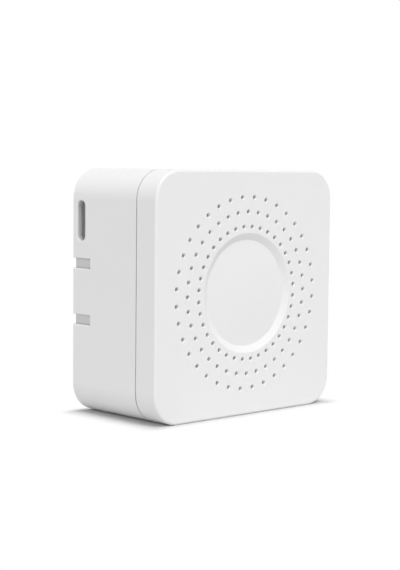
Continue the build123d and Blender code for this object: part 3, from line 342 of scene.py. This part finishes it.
def tracks(name, runs, level):
    """Tracks on one side of the board: rounded bars along their runs, pressed flat."""
    curve = bpy.data.curves.new(name, "CURVE")
    curve.dimensions = "3D"
    curve.bevel_depth = MM
    curve.bevel_resolution = 1
    curve.use_fill_caps = True
    for width, run in runs:
        spline = curve.splines.new("POLY")
        spline.points.add(len(run) - 1)
        for point, (x, z) in zip(spline.points, run):
            point.co = (x * MM, 0, z * MM, 1)
            point.radius = width / 2
    bars = bpy.data.objects.new(name, curve)
    mesh = bmesh.new()
    mesh.from_mesh(bpy.data.meshes.new_from_object(bars))
    bpy.data.objects.remove(bars)
    for vertex in mesh.verts:
        flat = min(abs(vertex.co.y), TRACK_THICK * MM)
        vertex.co.y = level * MM + math.copysign(flat, vertex.co.y)
    add_piece(name, mesh, "housing", "board_green", masked_copper)


masked_copper, place = new_material("masked_copper", IOR=1.5, Coat_Weight=0.5, Coat_Roughness=0.1)
vary(masked_copper,
     Base_Color=place.noise(TRACK_CLOUD).blend(TRACK_DEEP, TRACK_PALE),
     Roughness=place.noise(TRACK_SMEAR).between(*TRACK_ROUGHNESS))
tracks("front_tracks", FRONT_TRACKS, BOARD_FRONT)
tracks("rear_tracks", REAR_TRACKS, BOARD_REAR)

# Solder joints: every lead is soldered on the board's rear in a hollow-sided cone of solder,
# and a thin ring of it shows round the lead at the front.

PINNED = ["transformer_pins", "output_capacitor", "bulk_capacitor_1", "bulk_capacitor_2",
          "suppression_capacitor", "mains_fuse", "varistor", "filter_choke", "relay_coil_pins",
          "relay_yoke", "relay_fixed_contact"]
POLES = range(1, 6)
PINNED += [f"terminal_busbar_{pole}" for pole in POLES]
LEAD_TIP = 0.5
LEAD_SPREAD = 1.2
JOINT_PROFILE = ((0.98, 0.0), (0.9, 0.12), (0.62, 0.35), (0.46, 0.7), (0.34, 1.1))
RING_PROFILE = ((0.85, 0.0), (0.8, 0.07), (0.36, 0.1))
ROUND_SIDES = 20
SAME_POINT = 0.001
SOLDER_DEEP = (0.66, 0.66, 0.65)
SOLDER_PALE = (0.8, 0.8, 0.78)
SOLDER_CLOUD = 0.8
SOLDER_RIPPLE = 0.5
SOLDER_ROUGHNESS = (0.16, 0.4)
SOLDER_RELIEF = 0.02


def pin_places(name):
    """Where a node's leads come out of the board's rear, as X and Z, in millimetres."""
    leads = []
    for vertex in nodes[name].data.vertices:
        x, y, z = vertex.co / MM
        if y < BOARD_REAR + LEAD_TIP:
            continue
        near = [lead for lead in leads if math.dist(lead[0], (x, z)) < LEAD_SPREAD]
        if near:
            near[0].append((x, z))
        else:
            leads.append([(x, z)])
    places = []
    for lead in leads:
        across, up = zip(*lead)
        places.append(((min(across) + max(across)) / 2, (min(up) + max(up)) / 2))
    return places


def turned(mesh, profile, x, y, z, outward):
    """Adds a round shape to a mesh: a profile of radius and height turned about a line along Y."""
    line = [mesh.verts.new(((x + radius) * MM, (y + outward * height) * MM, z * MM))
            for radius, height in profile]
    edges = [mesh.edges.new(pair) for pair in zip(line, line[1:])]
    bmesh.ops.spin(mesh, geom=line + edges, cent=(x * MM, y * MM, z * MM), axis=(0, 1, 0),
                   angle=2 * math.pi, steps=ROUND_SIDES, use_merge=True)


solder, place = new_material("solder", Metallic=1.0)
vary(solder,
     Base_Color=place.noise(SOLDER_CLOUD).blend(SOLDER_DEEP, SOLDER_PALE),
     Roughness=place.noise(SOLDER_RIPPLE, 3.0).between(*SOLDER_ROUGHNESS),
     Normal=place.noise(SOLDER_RIPPLE).bump(SOLDER_RELIEF))
mesh = bmesh.new()
for name in PINNED:
    for x, z in pin_places(name):
        turned(mesh, JOINT_PROFILE, x, BOARD_REAR, z, 1)
        turned(mesh, RING_PROFILE, x, BOARD_FRONT, z, -1)
bmesh.ops.remove_doubles(mesh, verts=mesh.verts, dist=SAME_POINT * MM)
add_piece("solder_joints", mesh, "housing", "tinned_metal", solder)

# Printed outlines: white ink, printed on the board's front round the tall components, which
# shows where each of them goes.

INK_WIDTH = 0.16
INK_THICK = 0.02
INK_MARGIN = 0.35
INK_DEEP = (0.6, 0.62, 0.6)
INK_PALE = (0.8, 0.8, 0.78)
INK_SPECKLE = 0.3
INK_ROUGHNESS = (0.5, 0.65)
SQUARE_SIDES = 4
CIRCLE_SIDES = 48
OUTLINED = {"relay_case": SQUARE_SIDES, "suppression_capacitor": SQUARE_SIDES,
            "mains_fuse": SQUARE_SIDES, "bulk_capacitor_1": CIRCLE_SIDES,
            "bulk_capacitor_2": CIRCLE_SIDES, "output_capacitor": CIRCLE_SIDES,
            "filter_choke": CIRCLE_SIDES}


def extents(name):
    """The two corners of a CAD node's box, in millimetres."""
    return [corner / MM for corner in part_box(name)]


def ink_ring(mesh, half_x, half_z, x, z, sides):
    """Adds a flat closed line to a mesh: four-sided, or round with many sides."""
    square = sides == SQUARE_SIDES
    turn = Matrix.Rotation(math.pi / 4, 4, "Y") if square else Matrix.Identity(4)
    upright = Matrix.Rotation(math.pi / 2, 4, "X")
    middle = Matrix.Translation((x * MM, (BOARD_FRONT - INK_THICK) * MM, z * MM))
    loops = []
    for grow in (0, INK_WIDTH):
        reach = (half_x + grow) * (math.sqrt(2) if square else 1)
        spread = Matrix.Diagonal((1, 1, (half_z + grow) / (half_x + grow), 1))
        made = bmesh.ops.create_circle(mesh, segments=sides, radius=reach * MM,
                                       matrix=middle @ spread @ turn @ upright)
        loops += list({edge for vertex in made["verts"] for edge in vertex.link_edges})
    bmesh.ops.bridge_loops(mesh, edges=loops)


white_ink, place = new_material("white_ink")
vary(white_ink,
     Base_Color=place.noise(INK_SPECKLE, 4.0).blend(INK_DEEP, INK_PALE),
     Roughness=place.noise(INK_SPECKLE).between(*INK_ROUGHNESS))
mesh = bmesh.new()
for name, sides in OUTLINED.items():
    low, high = extents(name)
    half_x = (high.x - low.x) / 2 + INK_MARGIN
    half_z = (high.z - low.z) / 2 + INK_MARGIN
    ink_ring(mesh, half_x, half_z, (low.x + high.x) / 2, (low.z + high.z) / 2, sides)
add_piece("printed_outlines", mesh, "housing", "moulding_white", white_ink)

# Chip resistors and capacitors: ceramic blocks with tinned ends, reflowed onto both sides.
# Each run is a kind, a first place, a step, a count and whether the parts lie along Z.

CHIP_SIZE = (1.6, 0.8)
CHIP_END = 0.32
CHIP_END_PROUD = 0.03
CHIP_EDGE = 0.05
CHIP_HEIGHTS = {"resistor": 0.45, "capacitor": 0.8}
CHIP_MATERIALS = {"end": 0, "resistor": 1, "capacitor": 2}
FRONT_CHIPS = (
    ("resistor", (-20.4, 7.0), (0, 2.0), 6, False),
    ("capacitor", (-17.9, 8.2), (0, 3.0), 3, True),
    ("resistor", (-12.6, 18.4), (2.6, 0), 4, True),
    ("capacitor", (-20.0, 34.6), (1.8, 0), 3, True),
    ("resistor", (-0.1, 21.0), (0, 2.6), 5, False),
    ("capacitor", (16.6, 5.2), (2.2, 0), 3, True),
    ("resistor", (2.6, 6.0), (0, 2.6), 3, True),
)
REAR_CHIPS = (
    ("capacitor", (-14.4, 23.0), (0, 2.2), 4, False),
    ("resistor", (-10.0, 21.4), (2.0, 0), 4, True),
    ("resistor", (-3.2, 21.0), (0, 1.8), 3, False),
    ("capacitor", (-6.6, 13.6), (2.0, 0), 3, True),
    ("resistor", (6.0, 12.0), (2.0, 0), 4, True),
    ("capacitor", (-18.6, 10.0), (0, 2.0), 3, False),
    ("resistor", (-2.6, 31.0), (2.0, 0), 4, True),
)
GLAZE_BLACK = (0.02, 0.02, 0.025)
CERAMIC_TAN = (0.46, 0.33, 0.2)

resistor_glaze = moulding("resistor_glaze", GLAZE_BLACK, roughness=0.25, grain=0.15, cloud=0.2)
chip_ceramic = moulding("chip_ceramic", CERAMIC_TAN, roughness=0.45, grain=0.12, cloud=0.1)


def add_block(mesh, size, middle, material):
    """Adds a box with eased edges to a mesh, in millimetres."""
    start = len(mesh.faces)
    spread = Matrix.Diagonal((*(part * MM for part in size), 1))
    made = bmesh.ops.create_cube(mesh, matrix=Matrix.Translation(Vector(middle) * MM) @ spread)
    edges = list({edge for vertex in made["verts"] for edge in vertex.link_edges})
    bmesh.ops.bevel(mesh, geom=edges, offset=CHIP_EDGE * MM, affect="EDGES", segments=2,
                    profile=0.5, material=-1)
    mesh.faces.ensure_lookup_table()
    for face in mesh.faces[start:]:
        face.material_index = material


def add_chip(mesh, kind, x, z, level, outward, upright):
    """Adds one chip part to a mesh: its body between two ends that stand a little proud."""
    for side in (-1, 0, 1):
        long = CHIP_END if side else CHIP_SIZE[0] - 2 * CHIP_END
        proud = CHIP_END_PROUD if side else 0.0
        offset = side * (CHIP_SIZE[0] - CHIP_END) / 2
        height = CHIP_HEIGHTS[kind] + proud
        size = [long, height, CHIP_SIZE[1] + proud]
        middle = [x + offset, level + outward * height / 2, z]
        if upright:
            size.reverse()
            middle = [x, middle[1], z + offset]
        add_block(mesh, size, middle, CHIP_MATERIALS["end" if side else kind])


def chip_parts(name, runs, level, outward):
    """The chip parts of one side of the board, as one mesh."""
    mesh = bmesh.new()
    for kind, (x, z), (step_x, step_z), count, upright in runs:
        for number in range(count):
            add_chip(mesh, kind, x + number * step_x, z + number * step_z, level, outward, upright)
    add_piece(name, mesh, "housing", "tinned_metal", solder, resistor_glaze, chip_ceramic)


chip_parts("front_chip_parts", FRONT_CHIPS, BOARD_FRONT, -1)
chip_parts("rear_chip_parts", REAR_CHIPS, BOARD_REAR, 1)

# Board screws: four zinc-plated pan heads with a cross recess, driven through the board into
# the housing's bosses.

SCREW_ZINC = (0.66, 0.67, 0.7)
TARNISH = 0.86
TARNISH_SIZE = 2.5
ROLLING_SIZE = 0.12
ROLLING_DEPTH = 0.002
SMOOTHER = 0.08
ROUGHER = 0.1
ALONG_X = (12, 1, 1)
ALONG_Z = (1, 1, 12)


def plated(name, colour, roughness, lines=ALONG_Z):
    """A plated or rolled metal: fine lines along one way and cloudy gloss."""
    material, place = new_material(name, Metallic=1.0)
    cloud = place.noise(TARNISH_SIZE, 3.0)
    deep = tuple(part * TARNISH for part in colour)
    vary(material,
         Base_Color=cloud.blend(deep, colour),
         Roughness=cloud.between(roughness - SMOOTHER, roughness + ROUGHER),
         Normal=place.noise(ROLLING_SIZE, stretch=lines).bump(ROLLING_DEPTH))
    return material


screw_zinc = plated("screw_zinc", SCREW_ZINC, 0.28)
dress(screw_zinc, "board_screws")

# Side-pushed switch and its lamp: a black body in a folded tinned frame, soldered to the
# board's rear behind the pairing key, and a small lamp chip with a cast resin lens.

NYLON_BLACK = (0.022, 0.022, 0.024)
PLUNGER_BLACK = (0.05, 0.05, 0.052)
TIN = (0.74, 0.74, 0.72)
LAMP_BASE_Y = (8.9, 8.86)
LAMP_BASE_WHITE = (0.72, 0.71, 0.66)
LAMP_LENS_YELLOW = (0.82, 0.76, 0.42)
LAMP_CLOUD = 0.3
LAMP_ROUGHNESS = (0.25, 0.4)

black_nylon = moulding("black_nylon", NYLON_BLACK, roughness=0.5, grain=0.2, cloud=0.1)
tinned = plated("tinned", TIN, 0.32)
plunger_plastic = moulding("plunger_plastic", PLUNGER_BLACK, roughness=0.35, grain=0.2, cloud=0.1)
lamp_resin, place = new_material("lamp_resin", Coat_Weight=0.4, Coat_Roughness=0.1)
vary(lamp_resin,
     Base_Color=place.axis("Y").step(*LAMP_BASE_Y).blend(LAMP_LENS_YELLOW, LAMP_BASE_WHITE),
     Roughness=place.noise(LAMP_CLOUD).between(*LAMP_ROUGHNESS))
dress(black_nylon, "tact_switch_body")
dress(tinned, "tact_switch_frame")
dress(plunger_plastic, "tact_switch_plunger")
dress(lamp_resin, "status_led")

# Chips on the board's rear: transfer-moulded black epoxy with tinned leads, reflowed onto it.
# The leads are what lies outside the width of the moulded body.

BODY_WIDTHS = {"bridge_rectifier": 4.0, "supply_controller": 3.9, "voltage_regulator": 3.5}
LEAD_START = 0.01
EPOXY_DEEP = (0.018, 0.018, 0.02)
EPOXY_PALE = (0.035, 0.035, 0.037)
EPOXY_GRIT = 0.15
EPOXY_RELIEF = 0.004
EPOXY_ROUGHNESS = 0.55
LEAD_ROUGHNESS = 0.3

for name, width in BODY_WIDTHS.items():
    chip_epoxy, place = new_material(f"{name}_epoxy")
    low, high = extents(name)
    lead = abs(place.axis("X") - (low.x + high.x) / 2) > width / 2 + LEAD_START
    grit = place.noise(EPOXY_GRIT, 3.0)
    vary(chip_epoxy,
         Base_Color=lead.blend(grit.blend(EPOXY_DEEP, EPOXY_PALE), TIN),
         Metallic=lead,
         Roughness=lead.between(EPOXY_ROUGHNESS, LEAD_ROUGHNESS),
         Normal=grit.bump(EPOXY_RELIEF))
    dress(chip_epoxy, name)

# Radio board: a small daughter board under dark blue mask, with gilded pads along its edges, a
# pressed shield and a folded copper track as its antenna, at the end that has no pads.

RADIO_BLUE = (0.008, 0.02, 0.06)
GILT = (0.78, 0.58, 0.25)
SHIELD_TIN = (0.72, 0.72, 0.71)
ANTENNA_COPPER = (0.8, 0.45, 0.25)
PAD_LENGTH = 0.5
PAD_PITCH = 2.0
PAD_SHIFT = 0.6
PAD_SHARE = 0.6
ANTENNA_END = 3.0
RADIO_CLOUD = 0.5
RADIO_ROUGHNESS = (0.28, 0.4)

radio_mask, place = new_material("radio_mask", Coat_Weight=0.4, Coat_Roughness=0.15)
low, high = extents("radio_board")
off_middle = abs(place.axis("Z") - (low.z + high.z) / 2)
turn = (place.axis("X") / PAD_PITCH + PAD_SHIFT).maths("FRACT")
pad = (off_middle > (high.z - low.z) / 2 - PAD_LENGTH) * (abs(turn - 0.5) < PAD_SHARE / 2)
pad = pad * (place.axis("X") < high.x - ANTENNA_END)
vary(radio_mask,
     Base_Color=pad.blend(RADIO_BLUE, GILT),
     Metallic=pad,
     Roughness=place.noise(RADIO_CLOUD).between(*RADIO_ROUGHNESS))
dress(radio_mask, "radio_board")
dress(plated("shield_tin", SHIELD_TIN, 0.36, lines=ALONG_X), "radio_shield")
dress(plated("antenna_copper", ANTENNA_COPPER, 0.3), "radio_antenna")

# Transformer: two pressed and fired ferrite halves through a black former, its windings under
# yellow tape. Its pins are soldered to the board.

FERRITE_DEEP = (0.035, 0.035, 0.038)
FERRITE_PALE = (0.085, 0.083, 0.085)
FERRITE_PORES = 0.18
FERRITE_CLOUD = 1.5
FERRITE_ROUGHNESS = (0.5, 0.7)
FERRITE_RELIEF = 0.01
TAPE_DEEP = (0.72, 0.5, 0.04)
TAPE_PALE = (0.84, 0.62, 0.07)
TAPE_CLOUD = 1.6
TAPE_SMEAR = 0.8
TAPE_CREASE = 0.9
TAPE_ROUGHNESS = (0.25, 0.4)
TAPE_RELIEF = 0.02
WINDING_PITCH = 0.2992

ferrite, place = new_material("ferrite")
pores = place.noise(FERRITE_PORES, 4.0)
vary(ferrite,
     Base_Color=pores.blend(FERRITE_DEEP, FERRITE_PALE),
     Roughness=place.noise(FERRITE_CLOUD).between(*FERRITE_ROUGHNESS),
     Normal=pores.bump(FERRITE_RELIEF))
dress(ferrite, "transformer_core_upper", "transformer_core_lower")
dress(black_nylon, "transformer_bobbin")
dress(tinned, "transformer_pins")
winding_tape, place = new_material("winding_tape", Coat_Weight=0.3, Coat_Roughness=0.1)
turns = place.axis("Z").waves(WINDING_PITCH)
vary(winding_tape,
     Base_Color=place.noise(TAPE_CLOUD, 3.0).blend(TAPE_DEEP, TAPE_PALE),
     Roughness=place.noise(TAPE_SMEAR).between(*TAPE_ROUGHNESS),
     Normal=(turns * 0.5 + place.noise(TAPE_CREASE)).bump(TAPE_RELIEF))
dress(winding_tape, "transformer_winding")

# Core tape: a belt of the same yellow tape, wound round the two ferrite halves, which holds
# them together.

BELT_THICK = 0.08
BELT_WIDTH = 3.0
BELT_ROOM = 0.02
BELT_CORNER = 0.35

lower_low, lower_high = extents("transformer_core_lower")
upper_low, upper_high = extents("transformer_core_upper")
core_low = Vector(map(min, lower_low, upper_low))
core_high = Vector(map(max, lower_high, upper_high))
belt = core_high - core_low + Vector((BELT_ROOM,) * 3) * 2
mesh = bmesh.new()
spread = Matrix.Diagonal((belt.x * MM, BELT_WIDTH * MM, belt.z * MM, 1))
middle = Matrix.Translation((core_low + core_high) / 2 * MM)
bmesh.ops.create_cube(mesh, matrix=middle @ spread)
ends = [face for face in mesh.faces if abs(face.normal.y) > 0.5]
bmesh.ops.delete(mesh, geom=ends, context="FACES_ONLY")
corners = [edge for edge in mesh.edges if len(edge.link_faces) == 2]
bmesh.ops.bevel(mesh, geom=corners, offset=BELT_CORNER * MM, affect="EDGES", segments=4,
                profile=0.5, material=-1)
bmesh.ops.recalc_face_normals(mesh, faces=mesh.faces)
bmesh.ops.solidify(mesh, geom=mesh.faces, thickness=-BELT_THICK * MM)
add_piece("core_tape", mesh, "housing", "tape_yellow", winding_tape)

# Electrolytic capacitors: aluminium cans in shrunk black sleeves, with a pale stripe on the
# side of the short lead and a bare scored top. The drum choke's sleeve has no stripe.

SLEEVE_BLACK = (0.018, 0.02, 0.028)
STRIPE_GREY = (0.5, 0.52, 0.55)
BARE_ALUMINIUM = (0.82, 0.82, 0.81)
SLEEVE_RIM = 0.95
TOP_DEPTH = 1.0
LEADS_INSIDE = 0.2
LEADS_START_Y = 6.55
DASH_PITCH = 3.0
DASH_SHARE = 0.5
DASH_WIDTH = 0.24
FILM_SMEAR = 1.2
FILM_CREASE = 1.4
FILM_ROUGHNESS = (0.22, 0.36)
FILM_RELIEF = 0.01
CAN_ROUGHNESS = 0.3
STRIPES = {"bulk_capacitor_1": (1, 2.0), "bulk_capacitor_2": (-1, 2.0),
           "output_capacitor": (1, 1.4), "filter_choke": (1, 0.0)}


def sleeved(name, stripe_side, stripe_width):
    """A shrunk sleeve over a can: glossy film, bare metal inside the rim and a dashed stripe."""
    low, high = extents(name)
    radius = (high.x - low.x) / 2
    material, place = new_material(f"{name}_sleeve")
    x = place.axis("X") - (low.x + high.x) / 2
    y = place.axis("Y")
    z = place.axis("Z") - (low.z + high.z) / 2
    reach = (x * x + z * z).maths("SQRT")
    top = (reach < radius - SLEEVE_RIM) * (y < low.y + TOP_DEPTH)
    lead = (reach < radius - LEADS_INSIDE) * (y > LEADS_START_Y)
    bare = top.maths("MAXIMUM", lead)
    stripe = (abs(z) < stripe_width / 2) * (x * stripe_side > 0)
    turn = (y / DASH_PITCH).maths("FRACT")
    dash = (abs(z) < stripe_width * DASH_WIDTH / 2) * (abs(turn - 0.5) < DASH_SHARE / 2)
    film = (stripe - stripe * dash).blend(SLEEVE_BLACK, STRIPE_GREY)
    film_roughness = place.noise(FILM_SMEAR).between(*FILM_ROUGHNESS)
    vary(material,
         Base_Color=bare.blend(film, BARE_ALUMINIUM),
         Metallic=bare,
         Roughness=bare.between(film_roughness, CAN_ROUGHNESS),
         Normal=place.noise(FILM_CREASE, stretch=(1, 3, 1)).bump(FILM_RELIEF))
    return material


for name, (side, width) in STRIPES.items():
    dress(sleeved(name, side, width), name)

# Suppression capacitor, fuse and varistor: the parts that face the mains. The first two are in
# moulded boxes and the varistor is dipped in blue resin.

CAPACITOR_GREY = (0.3, 0.32, 0.33)
FUSE_BROWN = (0.03, 0.02, 0.017)
RESIN_DEEP = (0.025, 0.1, 0.32)
RESIN_PALE = (0.045, 0.16, 0.43)
RESIN_RUNS = 1.8
RESIN_SMEAR = 0.6
RESIN_ROUGHNESS = (0.2, 0.4)
RESIN_RELIEF = 0.06

capacitor_box = moulding("capacitor_box", CAPACITOR_GREY, roughness=0.4, grain=0.3, cloud=0.05)
fuse_box = moulding("fuse_box", FUSE_BROWN, roughness=0.3, grain=0.25, cloud=0.1)
dip_resin, place = new_material("dip_resin", Coat_Weight=0.6, Coat_Roughness=0.08)
runs = place.noise(RESIN_RUNS, 3.0, stretch=(1, 1, 2))
vary(dip_resin,
     Base_Color=runs.blend(RESIN_DEEP, RESIN_PALE),
     Roughness=place.noise(RESIN_SMEAR).between(*RESIN_ROUGHNESS),
     Normal=runs.bump(RESIN_RELIEF))
dress(capacitor_box, "suppression_capacitor")
dress(fuse_box, "mains_fuse")
dress(dip_resin, "varistor")

# Relay: a dark blue dust cover over coil, iron and contacts, on a nylon floor. The small nib
# near a corner of the cover is its sealed vent.

RELAY_BLUE = (0.04, 0.062, 0.1)
BOBBIN_WHITE = (0.72, 0.71, 0.66)
IRON = (0.56, 0.56, 0.55)
WIRE_GROOVE_SHADE = (0.3, 0.08, 0.02)
WIRE_PALE = (0.72, 0.3, 0.1)
WIRE_PITCH = 0.1496
WIRE_SMEAR = 0.4
WIRE_ROUGHNESS = (0.25, 0.4)
WIRE_RELIEF = 0.03
BRASS = (0.78, 0.6, 0.3)
SPRING_COPPER = (0.76, 0.42, 0.24)
NIB_PROFILE = ((1.25, -0.05), (1.25, 0.12), (1.15, 0.2), (0.75, 0.2), (0.7, 0.08), (0.0, 0.08))
NIB_INSET = 2.6

relay_nylon = moulding("relay_nylon", RELAY_BLUE, roughness=0.42, grain=0.3, depth=0.004,
                       cloud=0.06)
dress(relay_nylon, "relay_case")
low, high = extents("relay_case")
mesh = bmesh.new()
turned(mesh, NIB_PROFILE, low.x + NIB_INSET, low.y, high.z - NIB_INSET, -1)
bmesh.ops.remove_doubles(mesh, verts=mesh.verts, dist=SAME_POINT * MM)
add_piece("relay_vent_nib", mesh, "housing", "relay_blue", relay_nylon)
dress(black_nylon, "relay_base")
dress(moulding("bobbin_nylon", BOBBIN_WHITE, roughness=0.4, grain=0.3), "relay_bobbin")
soft_iron = plated("soft_iron", IRON, 0.38, lines=ALONG_X)
dress(soft_iron, "relay_yoke", "relay_core", "relay_armature")
# The coil's copper is painted darker in the grooves between its turns: painted shade.
coil_wire, place = new_material("coil_wire", Metallic=0.6, Coat_Weight=0.5)
turns = place.axis("Y").waves(WIRE_PITCH)
vary(coil_wire,
     Base_Color=turns.step(-1, 1).blend(WIRE_GROOVE_SHADE, WIRE_PALE),
     Roughness=place.noise(WIRE_SMEAR).between(*WIRE_ROUGHNESS),
     Normal=turns.bump(WIRE_RELIEF))
dress(coil_wire, "relay_coil")
dress(tinned, "relay_coil_pins")
dress(plated("contact_brass", BRASS, 0.28), "relay_fixed_contact")
dress(plated("spring_copper", SPRING_COPPER, 0.3), "relay_contact_spring")

# Terminal block: five rising-cage clamps in one glass-filled nylon block. Each screw pulls its
# zinc cage up, and so the wire against the tinned busbar.

BLOCK_GREY = (0.16, 0.19, 0.2)
CAGE_ZINC = (0.68, 0.65, 0.55)

block_nylon = moulding("block_nylon", BLOCK_GREY, roughness=0.5, grain=0.25, depth=0.005, cloud=0.06)
dress(block_nylon, "terminal_housing")
cage_zinc = plated("cage_zinc", CAGE_ZINC, 0.34)
for pole in POLES:
    dress(tinned, f"terminal_busbar_{pole}")
    dress(cage_zinc, f"terminal_cage_{pole}")
    dress(screw_zinc, f"terminal_screw_{pole}")

# Floor and light: a flat floor, which takes the module's real shadow near its foot and is white
# beyond it. Near the foot the floor is also painted grey, a painted shade that darkens that
# shadow and fades to white within 6 mm. Above is a sky that is dimmer overhead and brighter
# at the left. One broad lamp shines from above the front.

FLOOR_SIZE = 4.0
FLOOR_DROP = 0.02
FLOOR_PAINTED_SHADE = (0.66, 0.66, 0.66)
FLOOR_BOUNCE = (0.65, 0.65, 0.65)
FOOTPRINT = (23.2, 12.0)
SHADOW_FADE = (0.0, 6.0)
FRONT_FADE = 1.7
SKY_LEVEL = 0.82
SKY_OVERHEAD = 0.33
SKY_OVERHEAD_SPAN = (0.0, 0.9)
SKY_LEFT = 0.4
SKY_LEFT_SPAN = (-0.1, -1.0)
SKY_WHITE = (1.0, 1.0, 1.0)
SKY_BLUE = (0.975, 0.975, 1.0)
LAMP_FROM = (-0.1, -0.5, 0.86)
LAMP_STRENGTH = 1.87
LAMP_ANGLE = 35


def in_view(paint):
    """1 where a ray shows the background: seen straight, mirrored or through clear plastic."""
    direct = paint.node("ShaderNodeLightPath", out="Is Camera Ray")
    mirrored = paint.node("ShaderNodeLightPath", out="Is Glossy Ray")
    through = paint.node("ShaderNodeLightPath", out="Is Transmission Ray")
    return direct.maths("MAXIMUM", mirrored.maths("MAXIMUM", through))


mesh = bmesh.new()
bmesh.ops.create_grid(mesh, x_segments=1, y_segments=1, size=FLOOR_SIZE)
bmesh.ops.translate(mesh, vec=(0, 0, -FLOOR_DROP * MM), verts=mesh.verts)
floor_mesh = bpy.data.meshes.new("floor")
mesh.to_mesh(floor_mesh)
mesh.free()
floor = bpy.data.objects.new("floor", floor_mesh)
bpy.context.scene.collection.objects.link(floor)
floor_paint = bpy.data.materials.new("floor_paint")
floor_paint.use_nodes = True
floor_paint.node_tree.nodes.clear()
floor_mesh.materials.append(floor_paint)
place = place_on(floor_paint)
# Near the foot the floor is painted grey, a painted shade under the real shadow; further away it is
# plain white.
beside = (abs(place.axis("X")) - FOOTPRINT[0]).maths("MAXIMUM", 0)
beyond = (abs(place.axis("Y")) - FOOTPRINT[1]).maths("MAXIMUM", 0) * FRONT_FADE
away = (beside * beside + beyond * beyond).maths("SQRT")
shadow_and_painted_shade = place.node("ShaderNodeBsdfDiffuse", {}, {"Color": rgba(FLOOR_PAINTED_SHADE)})
white = place.node("ShaderNodeEmission", {}, {"Strength": 1.0})
seen = place.node("ShaderNodeMixShader", {}, {0: away.step(*SHADOW_FADE), 1: shadow_and_painted_shade, 2: white})
bounce = place.node("ShaderNodeBsdfDiffuse", {}, {"Color": rgba(FLOOR_BOUNCE)})
either = place.node("ShaderNodeMixShader", {}, {0: in_view(place), 1: bounce, 2: seen})
place.node("ShaderNodeOutputMaterial", {}, {0: either})

world = bpy.data.worlds.new("studio")
bpy.context.scene.world = world
world.use_nodes = True
world.node_tree.nodes.clear()
heading = Paint(world.node_tree).node("ShaderNodeTexCoord")
open_view = in_view(heading)
leftward = heading.number("X").step(*SKY_LEFT_SPAN)
overhead = heading.number("Z").step(*SKY_OVERHEAD_SPAN)
level = overhead.between(SKY_LEVEL, SKY_OVERHEAD) + leftward * SKY_LEFT
sky_colour = (leftward * (1 - open_view)).blend(SKY_WHITE, SKY_BLUE)
sky = heading.node("ShaderNodeBackground", {},
                   {"Color": sky_colour, "Strength": open_view.between(level, 1.0)})
heading.node("ShaderNodeOutputWorld", {}, {0: sky})

key_light = bpy.data.lights.new("key_lamp", "SUN")
key_light.energy = LAMP_STRENGTH
key_light.angle = math.radians(LAMP_ANGLE)
key_lamp = bpy.data.objects.new("key_lamp", key_light)
key_lamp.rotation_mode = "QUATERNION"
key_lamp.rotation_quaternion = Vector(LAMP_FROM).to_track_quat("Z", "Y")
bpy.context.scene.collection.objects.link(key_lamp)

# Camera: the photograph's own place, from the front left and a little above. Its place and
# turn come from a fit to the vent holes, the parting line and the case's outer edges.

FOCAL_PIXELS = 1410.86
LONG_SIDE_PIXELS = 570
SENSOR = 36.0
CLIP = (0.01, 50.0)
CAMERA_PLACE = (-203.09, -214.96, 50.50)
CAMERA_YAW = 43.185
CAMERA_PITCH = -4.779
CAMERA_ROLL = 0.574

lens = bpy.data.cameras.new("camera")
lens.sensor_width = SENSOR
lens.lens = FOCAL_PIXELS * SENSOR / LONG_SIDE_PIXELS
lens.clip_start, lens.clip_end = CLIP
camera = bpy.data.objects.new("camera", lens)
camera.location = Vector(CAMERA_PLACE) * MM
yaw, pitch, roll = (math.radians(angle) for angle in (CAMERA_YAW, CAMERA_PITCH, CAMERA_ROLL))
aim = Matrix.Rotation(-yaw, 3, "Z") @ Matrix.Rotation(math.pi / 2 + pitch, 3, "X")
camera.rotation_mode = "QUATERNION"
camera.rotation_quaternion = (aim @ Matrix.Rotation(roll, 3, "Z")).to_quaternion()
bpy.context.scene.collection.objects.link(camera)
bpy.context.scene.camera = camera
bpy.context.scene.view_settings.view_transform = "Standard"
